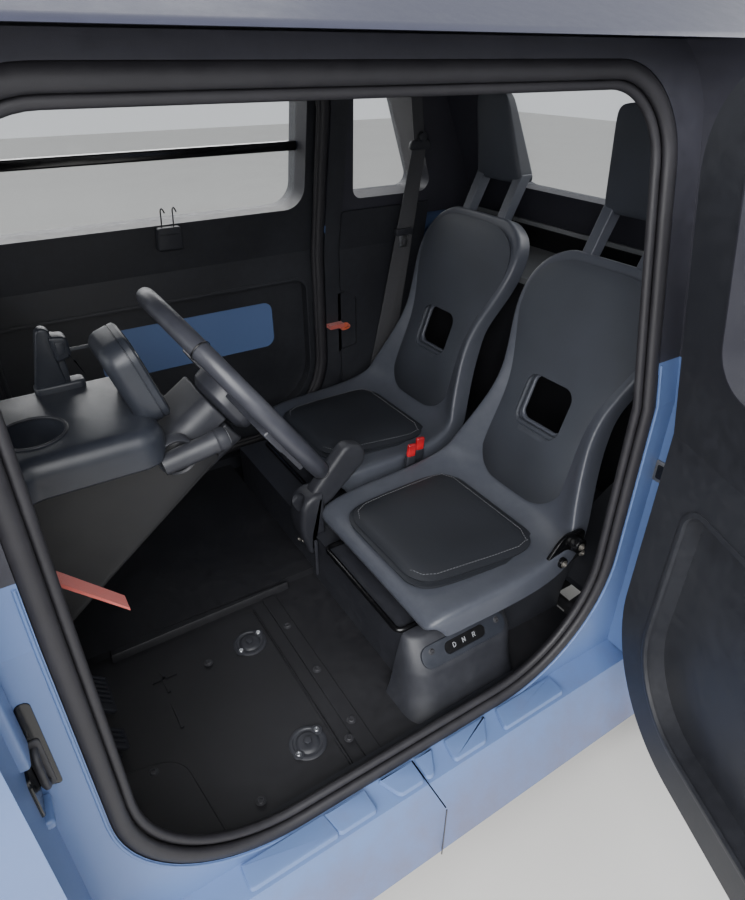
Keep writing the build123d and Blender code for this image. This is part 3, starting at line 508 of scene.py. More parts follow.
def inwardLine(rows, axis, segments):
    # points round an outline, each with its direction inward; upright outlines also get
    # a point where the side wall bends
    first, second = {"x": (1, 2), "y": (0, 2), "z": (0, 1)}[axis]
    line = [Vector((co[first], co[second])) * 1000 for co in outlinePoints(rows, axis, 0, segments)]
    if axis == "y":
        bent = []
        for point, after in zip(line, line[1:] + line[:1]):
            bent.append(point)
            if (point.y - wallBend) * (after.y - wallBend) < 0:
                bent.append(point.lerp(after, (wallBend - point.y) / (after.y - point.y)))
        line = bent
    turn = sum(a.x * b.y - b.x * a.y for a, b in zip(line, line[1:] + line[:1]))
    inward = []
    for i, point in enumerate(line):
        ahead = (line[(i + 1) % len(line)] - point).normalized() + (point - line[i - 1]).normalized()
        normal = Vector((-ahead.y, ahead.x)).normalized()
        inward.append(normal if turn > 0 else -normal)
    return list(zip(line, inward))


def netOf(around, along, placeOf):
    # a grid rolled up into a tube; placeOf gives each point's place from its two counts
    bm = bmesh.new()
    bmesh.ops.create_grid(bm, x_segments=around, y_segments=along, size=1)
    for vert in bm.verts:
        vert.co = placeOf(round((vert.co.x + 1) / 2 * around) % around,
                          round((vert.co.y + 1) / 2 * along))
    bmesh.ops.remove_doubles(bm, verts=bm.verts, dist=1e-6)
    return bm


def capped(bm):
    bmesh.ops.edgeloop_fill(bm, edges=[edge for edge in bm.edges if edge.is_boundary])
    bmesh.ops.recalc_face_normals(bm, faces=bm.faces)
    return bm


def carried(rows, axis, section, segments, closed):
    # a section of (height, drawn in) points carried round an outline
    line = inwardLine(rows, axis, segments)

    def placeOf(i, k):
        point, inward = line[i]
        height, draw = section[k % len(section)]
        return spot(axis, *(point + inward * draw), height)

    return netOf(len(line), len(section) - (0 if closed else 1), placeOf)


def moulding(rows, axis, levels, segments=8):
    # an outline carried through levels and closed at both ends
    return capped(carried(rows, axis, levels, segments, False))


def hoop(rows, axis, section, segments=10):
    # an outline carried round a closed section
    bm = carried(rows, axis, section, segments, True)
    bmesh.ops.recalc_face_normals(bm, faces=bm.faces)
    return bm


def roundLevels(low, high, lowRound, highRound, steps=4):
    # heights and draws of an upright wall with rounded ends
    lower = [(low + lowRound - lowRound * cos(pi / 2 * k / steps),
              lowRound - lowRound * sin(pi / 2 * k / steps)) for k in range(steps + 1)]
    upper = [(high - highRound + highRound * sin(pi / 2 * k / steps),
              highRound - highRound * cos(pi / 2 * k / steps)) for k in range(steps + 1)]
    return (lower if lowRound else [(low, 0)]) + (upper if highRound else [(high, 0)])


def drum(radius, low, high, soft=2, steps=40):
    # closed turned disc or bar along Z with softened edges
    return turnedPiece([(0, low), (radius - soft, low), (radius - soft * 0.3, low + soft * 0.3),
                        (radius, low + soft), (radius, high - soft),
                        (radius - soft * 0.3, high - soft * 0.3), (radius - soft, high), (0, high)],
                       steps)


dressing = {
    # finish of each CAD node, which keeps its shape
    "bodyPaint": ("front_body", "rear_body", "front_fenders", "rear_fenders", "side_frames_front",
                  "side_frames_rear", "door_left_shell", "door_right_shell"),
    "roofPlastic": ("roof",),
    "outerPlastic": ("greenhouse", "bumpers", "mirrors", "wiper"),
    "clearGlass": ("windscreen", "rear_window", "quarter_windows", "door_left_glass",
                   "door_right_glass"),
    "doorPlastic": ("cabin_linings", "door_left_trim", "door_right_trim"),
    "shelfPlastic": ("rear_shelf",),
    "cabinPlastic": ("seat_plinth", "drive_selector", "handbrake", "pedals", "steering_column",
                     "instrument_pod", "dash_clamp"),
    "dashPlastic": ("dashboard",),
    "floorPlastic": ("floor_tub",),
    "seatPlastic": ("seat_shells",),
    "padCover": ("seat_pads", "headrests"),
    "beltWeave": ("belts",),
    "buttonRed": ("buckles",),
    "strapWeave": ("pull_straps",),
    "seal": ("door_seals",),
    "wheelGrip": ("steering_wheel",),
    "darkSteel": ("seat_rails", "chassis_frame", "battery_block", "motor_block", "rear_axle",
                  "front_suspension", "knuckle_left", "knuckle_right", "door_hinges"),
    "tyreRubber": ("tyre_fl", "tyre_fr", "tyre_rl", "tyre_rr"),
    "rimSteel": ("rim_fl", "rim_fr", "rim_rl", "rim_rr"),
    "lampClear": ("front_lamps",),
    "lampRed": ("rear_lamps",),
}
for finish, names in dressing.items():
    for name in names:
        for slot in nodes[name].material_slots:
            slot.material = finishes[finish].material
print("nodes dressed")

opening = {
    # ring of each door opening: outline, and the face that its rubber stands on
    "rows": ((473, 344, 262), (-473, 344, 262), (-473, 1424, 130), (473, 1424, 130)), "layer": 591,
    # each bead: its middle from the opening's edge and from the rebate, its half width and height
    "beads": ((11, -8, 12, 9), (28, -18, 7, 7), (14, -24, 14, 8)),
    # painted lip: its middle from the edge and from the rebate, its radius, and where it ends
    "lip": (-3.5, -1, 2.2), "lipTop": 1.0,
    # cover on the inner face of the wall: how far outside the edge, and the wall's inner face;
    # then the corners of the piece that carries it on over the rear post
    "cover": (1, 52, 559.2), "latchCover": (-515, 604, -606, 796), "rounding": 14,
}


def pairedSides(left):
    return joined([otherSide(left), left])


def makeSeals():
    rows, layer, steps = opening["rows"], opening["layer"], opening["rounding"]
    left = joined([onWall(hoop(rows, "y", oval(layer + proud, draw, high, wide, 14), steps))
                   for draw, proud, wide, high in opening["beads"]])
    finished("doorSealBeads", pairedSides(left), "seal", replaces=("door_seals",), smooth=60)
    draw, proud, radius = opening["lip"]
    left = hoop(rows, "y", oval(layer + proud, draw, radius, radius, 8), steps)
    bmesh.ops.bisect_plane(left, geom=left.verts[:] + left.edges[:] + left.faces[:],
                           plane_co=(0, 0, opening["lipTop"]), plane_no=(0, 0, 1), clear_outer=True)
    bmesh.ops.edgeloop_fill(left, edges=[edge for edge in left.edges if edge.is_boundary])
    finished("openingLips", pairedSides(onWall(left)), "bodyPaint", smooth=60)
    near, far, face = opening["cover"]
    low, high = face - 1, face + 0.6
    cover = hoop(rows, "y", [(low, -near), (high, -near), (high, -far), (low, -far)], steps)
    notch = slab(pane(*opening["latchCover"]), "y", low, high, 1)
    finished("postCovers", pairedSides(joined([onWall(cover), notch])), "doorPlastic", smooth=38)


makeSeals()
print("door seals")

seat = {
    "y": 255, "passengerBack": 78, "kneeX": -517, "kneeZ": 507, "recline": 0.374,
    # along the seat from the front lip to the top of the back:
    # x, z, half width, how far the sides rise towards the sitter
    "shell": (
        (-130, 473, 198, 0), (-111, 491, 210, 2), (-124, 510, 218, 5), (-176, 520, 224, 9),
        (-290, 517, 229, 14), (-400, 512, 230, 24), (-470, 516, 224, 36), (-519, 536, 213, 46),
        (-541, 572, 203, 50), (-559, 620, 186, 48), (-584, 686, 163, 42), (-604, 740, 151, 36),
        (-624, 792, 152, 30), (-648, 856, 174, 24), (-670, 916, 193, 20), (-690, 970, 194, 14),
        (-706, 1012, 180, 8), (-717, 1042, 150, 3), (-724, 1060, 104, 0)),
    "backPad": (
        (-526, 545, 72), (-535, 558, 100), (-544, 578, 119), (-554, 604, 132), (-571, 652, 138),
        (-596, 720, 136), (-621, 786, 143), (-648, 858, 166), (-669, 914, 180), (-689, 966, 178),
        (-702, 1000, 162), (-710, 1022, 132), (-716, 1036, 88)),
    "cushionPad": (
        (-146, 526, 100), (-158, 528, 134), (-190, 528, 151), (-260, 526, 159), (-330, 522, 165),
        (-400, 519, 170), (-440, 520, 161), (-457, 524, 120)),
    "padRise": 15,
    # half width, low, high and corner of the hole in the back
    "hole": (62, 697, 802, 22), "cut": (-760, -480),
    # the turned-down edge: how far out and down each of its two steps goes
    "skirt": ((5, 10), (3, 26)), "stitch": (4.6, 1.1, 0.9),
}


def seatNormal(rows, i):
    # towards the sitter, in the seat's side view
    low = rows[max(0, i - 1)]
    high = rows[min(len(rows) - 1, i + 1)]
    along = Vector((high[0] - low[0], high[1] - low[1])).normalized()
    return Vector((along.y, -along.x))


def seatPoint(rows, v, u, lift=0.0):
    # a point of the seat's surface: v counts the rows, u runs from -1 to 1 across
    i = min(int(v), len(rows) - 2)
    part = v - i
    first, second = rows[i], rows[i + 1]
    mix = [a + (b - a) * part for a, b in zip(first, second)]
    normal = seatNormal(rows, i).lerp(seatNormal(rows, i + 1), part).normalized()
    rise = lift + (mix[3] if len(mix) > 3 else 0) * abs(u) ** 3
    return Vector((mix[0] + normal.x * rise, mix[2] * u, mix[1] + normal.y * rise))


def seatGrid(rows, across, crown=0.0, lift=0.0):
    # grid whose rows follow the table; crown swells the middle of a pad
    bm = bmesh.new()
    along = len(rows) - 1
    bmesh.ops.create_grid(bm, x_segments=across, y_segments=along, size=1)
    for vert in bm.verts:
        u = vert.co.x
        v = (vert.co.y + 1) / 2 * along
        swell = crown * (1 - u ** 4) * (1 - (2 * v / along - 1) ** 6)
        vert.co = seatPoint(rows, v, u, lift + swell) * 0.001
    bmesh.ops.recalc_face_normals(bm, faces=bm.faces)
    return bm



def placedSeat(bm, side):
    back = 0 if side > 0 else -seat["passengerBack"]
    return moved(bm, (back, side * seat["y"], 0))


def holeRows(grow, reach):
    half, low, high = seat["hole"][:3]
    return pane(-half - grow, low - grow, half + grow, high + grow, reach)


def holeCutter(grow):
    return slab(holeRows(grow, seat["hole"][3] + grow), "x", *seat["cut"], 6)


def holeRing(grow, radius, lift):
    # rolled edge round the hole in the back
    points = []
    for co in outlinePoints(holeRows(grow, seat["hole"][3]), "x", 0):
        z = co.z * 1000
        depth = seat["kneeX"] - (z - seat["kneeZ"]) * seat["recline"] + 1.5
        points.append((depth + lift * 0.94, co.y * 1000, z + lift * 0.35))
    return tube(points, radius, 4)


def seatShell():
    bm = seatGrid(seat["shell"], 12)
    rows = seat["shell"]
    for push, drop in seat["skirt"]:
        rim = [e for e in bm.edges if e.is_boundary]
        for vert in vertsOf(bmesh.ops.extrude_edge_only(bm, edges=rim)["geom"]):
            place = vert.co * 1000
            nearest = min(range(len(rows)), key=lambda i: (rows[i][0] - place.x) ** 2
                          + (rows[i][1] - place.z) ** 2)
            normal = seatNormal(rows, nearest)
            sideways = push * (1 if place.y > 0 else -1) if abs(place.y) > 60 else 0
            deep = drop * (1.5 if nearest < 12 else 1.1)
            vert.co += Vector((-normal.x * deep, sideways, -normal.y * deep)) * 0.001
    bmesh.ops.recalc_face_normals(bm, faces=bm.faces)
    return solidOf(bm, wall=6, rounds=2, cutter=holeCutter(0))


def stitchRun(rows, inset, lift, pitch=7.5):
    # single stitches along a line set in from a pad's edge
    line = []
    side = [seatPoint(rows, v * 0.25, 1, lift) for v in range((len(rows) - 1) * 4 + 1)]
    loop = side + [Vector((p.x, -p.y, p.z)) for p in reversed(side)]
    middle = Vector((sum(p.x for p in loop), 0, sum(p.z for p in loop))) / len(loop)
    for i, point in enumerate(loop):
        ahead = (loop[(i + 1) % len(loop)] - loop[i - 1]).normalized()
        inward = middle - point
        inward -= ahead * inward.dot(ahead)
        line.append(point + inward.normalized() * inset)
    bm = bmesh.new()
    size = Matrix.Diagonal((*seat["stitch"], 1))
    spare = 0.0
    for start, end in zip(line, line[1:] + line[:1]):
        length = (end - start).length
        while spare < length:
            centre = Matrix.Translation(start.lerp(end, spare / length))
            turn = (end - start).to_track_quat("X", "Z").to_matrix().to_4x4()
            bmesh.ops.create_cube(bm, size=1, matrix=Matrix.Scale(0.001, 4) @ centre @ turn @ size)
            spare += pitch
        spare -= length
    return bm


def makeSeats():
    shells, pads, threads = [], [], []
    rise, backPad, cushionPad = seat["padRise"], seat["backPad"], seat["cushionPad"]
    lower = [(x - (x + 300) * -0.05, z - 1, half + 7) for x, z, half in cushionPad]
    for side in (1, -1):
        shells.append(placedSeat(joined([seatShell(), holeRing(1, 5, 1)]), side))
        back = solidOf(seatGrid(backPad, 10, rise - 6, 7), wall=9, rounds=2, cutter=holeCutter(6))
        cushion = solidOf(seatGrid(cushionPad, 10, rise, 9), wall=9, rounds=2)
        base = solidOf(seatGrid(lower, 10, 4, 3), wall=5, rounds=2)
        pads.append(placedSeat(joined([back, holeRing(9, 7, 12), cushion, base]), side))
        stitches = [stitchRun(backPad, 13, 12.5), stitchRun(cushionPad, 14, 16)]
        threads.append(placedSeat(joined(stitches), side))
    finished("seatShells", shells, "seatPlastic", replaces=("seat_shells",), smooth=50)
    soft = finished("seatPads", pads, "padCover", replaces=("seat_pads",), smooth=70)
    finished("seatStitches", threads, "thread", smooth=38)


makeSeats()
print("seats")

headrest = {
    "foot": 1136, "top": 1344, "halfFoot": 88, "halfTop": 57, "front": (-772, -722),
    "back": (-828, -748), "swell": 9, "crown": 8,
    "posts": (-72, 72), "postHalf": 14, "post": ((-722, 1046), (-776, 1160), (-814, 1160), (-756, 1046)),
}


def headPad():
    bm = bmesh.new()
    bmesh.ops.create_cube(bm, size=2)
    bmesh.ops.subdivide_edges(bm, edges=bm.edges, cuts=4, use_grid_fill=True)
    h = headrest
    for vert in bm.verts:
        t = (vert.co.z + 1) / 2
        half = h["halfFoot"] + (h["halfTop"] - h["halfFoot"]) * t
        front = h["front"][0] + (h["front"][1] - h["front"][0]) * t
        back = h["back"][0] + (h["back"][1] - h["back"][0]) * t
        depth = (vert.co.x + 1) / 2
        y = vert.co.y
        swell = h["swell"] * (1 - y ** 4) * (1 - (2 * t - 1) ** 4)
        x = back + (front - back) * depth + (swell if depth > 0.5 else -swell * 0.5)
        z = h["foot"] + (h["top"] - h["foot"]) * t + (h["crown"] * (1 - y * y) if t > 0.9 else 0)
        vert.co = Vector((x, y * half, z)) * 0.001
    return solidOf(bm, rounds=2)


def makeHeadrests():
    half = headrest["postHalf"]
    pads = [placedSeat(headPad(), side) for side in (1, -1)]
    posts = [placedSeat(slab(headrest["post"], "y", y - half, y + half), side)
             for side in (1, -1) for y in headrest["posts"]]
    pad = finished("headrestPads", pads, "padCover", replaces=("headrests",), smooth=70)
    finished("headrestPosts", posts, "seatPlastic", rim=3, smooth=38)


makeHeadrests()
print("headrests")

wheel = {
    "centre": (125, 255, 985), "lean": -56, "rimRadius": 183, "grip": (14.72, 14),
    "seams": (38, 142, 218, 322), "seam": (16.4, 0, 0.5, 1.1),
    "boss": ((0, -44), (44, -44), (56, -34), (58, -16), (50, -6), (30, -2), (0, -1)),
    "shaft": ((0, -92), (12, -92), (12, -40), (0, -40)),
    # each spoke and each shroud of the column: outline, then its ends along the column
    "spokes": ((((-34, -44, 10), (34, -44, 10), (22, -172, 4), (-22, -172, 4)), -22, -4),
               (((-34, 44, 10), (34, 44, 10), (22, 172, 4), (-22, 172, 4)), -22, -4),
               (((-40, -41, 3), (-40, -19, 3), (-172, -28.5, 4), (-172, -52.5, 4)), -24, -2),
               (((-40, 19, 3), (-40, 41, 3), (-172, 52.5, 4), (-172, 28.5, 4)), -24, -2)),
    "shrouds": ((((8, -62, 6), (8, 62, 6), (52, 58, 22), (52, -58, 22)), -222, -44),
                (((4, -62, 4), (4, 62, 4), (-50, 52, 24), (-50, -52, 24)), -222, -50)),
}


def onColumn(bm):
    return moved(bm, wheel["centre"], (("Y", wheel["lean"]),))


def makeWheel():
    parts = [turnedPiece(oval(wheel["rimRadius"], 0, *wheel["grip"], 20), 96),
             turnedPiece(wheel["boss"], 48),
             turnedPiece(wheel["shaft"], 24)]
    parts += [slab(rows, "z", low, high, 5) for rows, low, high in wheel["spokes"]]
    finished("steeringWheel", onColumn(joined(parts)), "wheelGrip", "steering_wheel_body",
             replaces=("steering_wheel",), rim=2.4, smooth=50)
    seams = []
    for angle in wheel["seams"]:
        seam = turnedPiece(oval(*wheel["seam"], 8), 32)
        moved(seam, (wheel["rimRadius"], 0, 0), (("X", 90),))
        bmesh.ops.scale(seam, vec=(1, 1, 0.92), verts=seam.verts)
        seams.append(moved(seam, turns=(("Z", angle),)))
    finished("wheelSeams", onColumn(joined(seams)), "blackGloss", "steering_wheel_body", smooth=38)
    shrouds = [slab(rows, "z", low, high) for rows, low, high in wheel["shrouds"]]
    finished("columnShrouds", onColumn(joined(shrouds)), "cabinPlastic",
             replaces=("steering_column",), rim=4, smooth=38)


makeWheel()
print("steering wheel and column")

dash = {
    "top": 1005, "low": 951, "edge": 24,
    "plan": [(262, 138, 26), (470, 138, 26), (470, -530, 18), (1005, -530, 36), (1005, 530, 36),
             (455, 530, 18), (455, 365, 30), (262, 365, 40)],
    "driverWall": [(216, 951), (188, 925, 10), (396, 760, 26), (540, 640, 16), (600, 640),
                   (600, 951)],
    "driverLevels": [(146, 0), (336, 0), (340, 1.5), (342, 5)],
    "passengerWall": [(482, 951), (520, 800, 34), (600, 720), (600, 951)],
    "cup": (418, 281, 42, 48), "recess": (252, 944, 26),
    "collar": ((-2, -1), (1, 1.4), (2.4, 0), (2.4, -22), (-2, -22)),
    # switch stalk with a ringed cap
    "barrel": (246, 345, 945), "barrelLean": 80,
    "bar": ((0, -30), (15, -30), (16, 0), (16, 44), (17, 46), (17.4, 50), (16.6, 51), (16.6, 54),
            (17.6, 55), (17.6, 64), (15.5, 68), (12.4, 68.6), (11.8, 66.8), (0, 66.4)),
    "ring": ((11.2, 66.8), (12.2, 67.6), (12.8, 69.0), (11.6, 68.4)),
}


def recessHole(y, deep):
    # cutter for the recess round the switch stalk
    x, z, radius = dash["recess"]
    return moved(drum(radius, -deep, 40, 0.5), (x, y, z), (("X", 90),))


def makeDash():
    top, low, edge = dash["top"], dash["low"], dash["edge"]
    x, y, radius, depth = dash["cup"]
    shelf = moulding(dash["plan"], "z", roundLevels(low, top, 5, edge, 6), 10)
    shelf = solidOf(shelf, cutter=moved(drum(radius, -depth, 20, 6), (x, y, top)))
    shelf = solidOf(shelf, cutter=recessHole(360, 60))
    finished("dashShelf", shelf, "dashPlastic", replaces=("dashboard",), smooth=32)
    wall = moulding(dash["driverWall"], "y", dash["driverLevels"], 6)
    far = moulding(dash["passengerWall"], "y", roundLevels(-515, 146, 4, 4), 6)
    # the dash walls take the darker plastic, which is painted shade
    finished("dashWalls", [solidOf(wall, cutter=recessHole(345, 30)), far], "shadedFootwellPlastic",
             smooth=32)
    # rolled lip round the cup well and round the stalk's recess
    lips = [moved(turnedPiece(oval(radius + 1, 0, 2.6, 2.2, 10), 48), (x, y, top))]
    x, z, radius = dash["recess"]
    collar = turnedPiece([(radius + out, up) for out, up in dash["collar"]], 40)
    lips.append(moved(collar, (x, 342, z), (("X", -90),)))
    finished("dashLips", lips, "cabinPlastic", smooth=50)
    turns = (("Y", -dash["barrelLean"]),)
    bar = turnedPiece(dash["bar"], 40)
    finished("switchStalk", moved(bar, dash["barrel"], turns), "cabinPlastic", smooth=40)
    mark = joined([slab(pane(-1.2, -6, 1.2, 6), "z", 66.6, 67.2, 1), turnedPiece(dash["ring"], 40)])
    finished("stalkMark", moved(mark, dash["barrel"], turns), "greyMark", smooth=38)


pod = {
    "centre": (280, 255, 1043), "lean": -72, "half": (66, 60), "corner": 34, "depth": 45,
    "case": ((0, 16), (2, 9), (8, 3), (16, 0.5), (33, 0), (33.6, 1.2), (34.4, 1.2), (35, 0),
             (42, 0.4), (45, 4)),
    # the foot on the shelf: plan, foot height and rise, slot and rib on its top
    "plan": ((284, 147, 16), (370, 147, 26), (370, 316, 30), (284, 316, 12)), "foot": (1004, 58),
    "footTop": [(1064, 30), (1065, 36)], "slot": (330, 196, 348, 214, 2),
    "rib": (300, 170, 352, 174, 4), "ribSpan": (1063, 1068, 0, 1.5, 2),
}


def makePod():
    along, across = pod["half"]
    rows = pane(-along, -across, along, across, pod["corner"])
    half = pod["depth"] / 2
    turns = (("Y", pod["lean"]),)
    case = moulding(rows, "z", [(up - half, draw) for up, draw in pod["case"]], 8)
    finished("podCase", moved(case, pod["centre"], turns), "dashPlastic", replaces=("instrument_pod",))
    face = moulding([(u * 0.92, v * 0.92, r * 0.9) for u, v, r in rows], "z",
                    [(half - 3, 0), (half + 0.6, 0), (half + 1.4, 1.4)], 8)
    finished("podGlass", moved(face, pod["centre"], turns), "blackGloss")
    # the foot flares towards the shelf
    low, rise = pod["foot"]
    levels = [(low + rise * t, 26 * sin(pi / 2 * t) ** 1.3 - 8 * (1 - t) ** 6)
              for t in [k / 8 for k in range(9)]]
    foot = moulding(pod["plan"], "z", levels + pod["footTop"], 8)
    foot = solidOf(foot, cutter=slab(pane(*pod["slot"]), "z", 1050, 1075, 2))
    rib = moulding(pane(*pod["rib"]), "z", roundLevels(*pod["ribSpan"]), 3)
    finished("podFoot", [foot, rib], "dashPlastic")


clamp = {
    # each moulding: outline, axis, its levels, corner steps
    "lug": (((396, 1004), (350, 1004), (357, 1060, 20), (356, 1099, 8), (373, 1102, 8)), "y",
            (150, 170, 3, 3, 3), 5),
    "jaw": (((361, 1090, 6), (337, 1086, 6), (336, 1056, 6), (358, 1050, 6)), "y",
            (148, 178, 4, 4, 3), 5),
    "groove": (((355, 1082, 2), (343, 1080, 2), (343, 1064, 2), (355, 1060, 2)), "y",
               (177, 179.5, 0, 1, 2), 3),
    "neck": (((358, 1012, 3), (345, 1012, 3), (346, 1060, 3), (356, 1060, 3)), "y",
             (153, 167, 2, 2, 2), 3),
    "base": (pane(326, 146, 396, 174, 8), "z", (1003, 1016, 0, 4, 3), 5),
}


def makeClamp():
    parts = [moulding(rows, axis, roundLevels(*levels), steps)
             for rows, axis, levels, steps in clamp.values()]
    finished("dashClamp", parts, "dashPlastic", replaces=("dash_clamp",))


makeDash()
makePod()
makeClamp()
print("dash")

ground = {
    "top": 300, "anchors": ((128, 146), (131, 434)),
    "screws": ((36, 149), (36, 294), (36, 438), (227, 153), (399, 338), (60, 470), (254, 492)),
    # raised pieces of the mats: outline, then height and draw of the shoulder and of the top,
    # corner steps; the cross strip, the heel patch in front of the driver, two ribs
    "reliefs": (
        (pane(18, 40, 52, 546, 4), (3, 0), (4, 1), 4),
        (((482, 304, 4), (346, 334, 40), (322, 534, 4), (482, 534, 4)), (3.5, 0), (5, 1.6), 8),
        (pane(78, 60, 85, 540, 5), (3, 0.6), (4, 2), 4),
        (pane(470, 60, 477, 540, 5), (3, 0.6), (4, 2), 4)),
    # bars of the plus and minus, from corner to corner
    "signs": ((318, 120, 324, 180), (294, 137, 345, 143), (321, 214, 327, 274)),
    "rosette": ((0, 0), (37, 0), (37, 1.5), (34, 3.4), (30, 3.6), (28, 2.2), (24, 2.2), (21, 5),
                (17, 6.4), (12, 6.4), (0, 6.4)),
    # ridge of the tunnel beside the passenger's step
    "ridge": ((402, 12, 5), (-24, 27, 5), (-24, 38, 5), (405, 41, 5)),
}


def screwHead(x, y, z, radius=7, turns=()):
    # flanged head with a round socket, standing up
    head = turnedPiece([(0, 0), (radius * 1.35, 0), (radius * 1.35, 1.2), (radius, 1.8),
                        (radius, 3.8), (radius * 0.86, 4.6), (radius * 0.55, 4.6),
                        (radius * 0.48, 2.4), (0, 2.4)], 20)
    return moved(head, (x, y, z), turns)


def makeFloor():
    z = ground["top"]
    raised = [moulding(rows, "z", [(z - 1, 0), (z + middle[0], middle[1]), (z + top[0], top[1])], steps)
              for rows, middle, top, steps in ground["reliefs"]]
    raised += [slab(pane(*sign), "z", z - 1, z + 4, 1) for sign in ground["signs"]]
    finished("floorReliefs", raised, "floorPlastic")
    rosettes, bright = [], []
    for x, y in ground["anchors"]:
        rosettes.append(moved(turnedPiece(ground["rosette"], 40), (x, y, z)))
        rosettes.append(moved(drum(9, 6, 12, 2, 6), (x, y, z)))
        for turn in (28, 208):
            side, ahead = x + 30 * cos(radians(turn)), y + 30 * sin(radians(turn))
            rosettes.append(moved(drum(11, 0, 2.6, 1), (side, ahead, z + 2)))
            bright.append(screwHead(side, ahead, z + 3, 5))
    finished("floorRosettes", rosettes, "cabinPlastic")
    screws = [screwHead(x, y, z + 4) for x, y in ground["screws"]]
    finished("floorScrews", screws, "darkSteel")
    finished("anchorScrews", bright, "brightSteel")
    ridge = moulding(ground["ridge"], "z", [(z - 1, 0), (z + 16, 2), (z + 19, 4)], 4)
    finished("floorRidges", ridge, "floorPlastic")


makeFloor()
print("floor")

console = {
    # outline of the selector's swelling at each height: front, rear and outer reach, corner
    "levels": ((299, -60, -336, 543, 66), (304, -62, -335, 538, 64), (322, -68, -338, 520, 58),
               (350, -75, -342, 503, 52), (385, -80, -346, 491, 46), (394, -82, -346, 487, 44),
               (446, -94, -338, 447, 38), (451, -100, -332, 439, 32)),
    "inner": 415,
    # middle of the sloping face and its lean; plate, recess, signs and screws lie on it
    "face": (-200, 474, 411), "lean": -52.4,
    "plate": ((-92, -17, 22), (118, -17, 22), (118, 30, 20), (-92, 30, 20)),
    "recess": pane(-38, -7, 68, 21, 13),
    "letters": (("D", -12), ("N", 12), ("R", 38)), "screws": ((-67, 16), (99, 13)),
    # raised seam on the side of the plinth
    "seam": (-96, 330, -88, 438, 3), "seamSpan": (56, 62, 1, 1, 2),
    # size of the signs against their field, where they start, width and height of a stroke
    "signScale": 0.6, "signStart": (-3, 3), "stroke": (1.5, 0.8, 1.6),
}

strokes = {
    # each sign's strokes run through these points of a 10 by 14 field
    "D": (((0, 0), (0, 14), (6, 14), (10, 10), (10, 4), (6, 0), (0, 0)),),
    "N": (((0, 0), (0, 14), (10, 0), (10, 14)),),
    "R": (((0, 0), (0, 14), (8, 14), (10, 11), (8, 7), (0, 7)), ((5, 7), (10, 0))),
}


def strokeBar(start, end, wide, low, high):
    # short raised stroke on the XY plane
    a, b = Vector(start), Vector(end)
    along = (b - a).normalized() * wide * 0.5
    over = Vector((-along.y, along.x))
    return slab([a - along + over, a - along - over, b + along - over, b + along + over], "z", low,
                high, 1)


def onSelector(bm):
    # from the sloping face's own plane, seen from outside, to its place
    return moved(bm, console["face"], (("Z", 180), ("X", console["lean"])))


def makeConsole():
    inner = console["inner"]
    rings = [outlinePoints([(front, inner, 2), (rear, inner, 2), (rear, reach, corner),
                            (front, reach, corner)], "z", z)
             for z, front, rear, reach, corner in console["levels"]]
    case = capped(netOf(len(rings[0]), len(rings) - 1, lambda i, k: rings[k][i]))
    finished("selectorCase", case, "cabinPlastic", replaces=("drive_selector",), smooth=50)
    plate = moulding(console["plate"], "z", [(-2, 0), (1.6, 0), (2.8, 0.6), (3.2, 2)], 8)
    well = moulding(console["recess"], "z", [(0.6, 1.5), (6, 0)], 8)
    finished("selectorPlate", onSelector(solidOf(plate, cutter=well)), "dashPlastic")
    keys = moulding(console["recess"], "z", [(0, 1), (1, 1)], 8)
    signs = []
    (left, foot), scale = console["signStart"], console["signScale"]
    for letter, u in console["letters"]:
        for run in strokes[letter]:
            points = [(u + left + x * scale, foot + y * scale) for x, y in run]
            signs += [strokeBar(*ends, *console["stroke"]) for ends in zip(points, points[1:])]
    screws = [screwHead(u, v, 2.4, 5) for u, v in console["screws"]]
    finished("selectorKeys", onSelector(keys), "blackGloss")
    finished("selectorSigns", onSelector(joined(signs)), "greyMark", smooth=38)
    finished("selectorScrews", onSelector(joined(screws)), "darkSteel")
    seam = moulding(pane(*console["seam"]), "y", roundLevels(*console["seamSpan"]), 3)
    finished("plinthSeams", seam, "cabinPlastic", smooth=38)


makeConsole()
print("selector")

rails = {
    "x": -95, "near": 150, "back": -450, "height": 446, "radius": 6,
    # section of a track from its middle
    "track": ((-13, 441, 2), (13, 441, 2), (13, 452, 3), (6, 452, 1), (6, 449, 1), (-6, 449, 1),
              (-6, 452, 1), (-13, 452, 3)),
    # outer recline and belt anchorage of the driver's chair: plate, bosses and bolts
    "bracket": ((-520, 505, 16), (-430, 478, 14), (-405, 520, 18), (-455, 585, 20), (-520, 580, 16)),
    "bosses": ((-489, 556, 17, 20), (-452, 522, 12, 14), (-506, 528, 8, 12)),
    "bolts": ((-489, 499, 556), (-452, 493, 522), (-505, 491, 528)),
}


def makeRails():
    tubes, tracks = [], []
    h, near, front = rails["height"], rails["near"], rails["x"]
    half = [(-300, -near, h), (-130, -near, h), (front, -near, h), (front, 34 - near, h)]
    points = half + [(x, -y, z) for x, y, z in reversed(half)]
    for side in (1, -1):
        tubes.append(placedSeat(tube(points, rails["radius"], 6, True), side))
        for y in (-near, near):
            section = [(y + across, up, corner) for across, up, corner in rails["track"]]
            track = moulding(section, "x", roundLevels(rails["back"], -156, 1, 1, 2), 2)
            tracks.append(placedSeat(track, side))
    finished("slideBars", tubes, "blackGloss", replaces=("seat_rails",), smooth=50)
    finished("slideTracks", tracks, "darkSteel")
    parts = [moulding(rails["bracket"], "y", roundLevels(472, 480, 1, 2, 2), 6)]
    parts += [moved(drum(radius, 0, deep, 2.5), (x, 479, z), (("X", -90),))
              for x, z, radius, deep in rails["bosses"]]
    finished("seatBracket", parts, "blackGloss")
    bolts = [screwHead(*place, 6, (("X", -90),)) for place in rails["bolts"]]
    finished("seatBolts", bolts, "zincSteel")


makeRails()
print("seat slides")

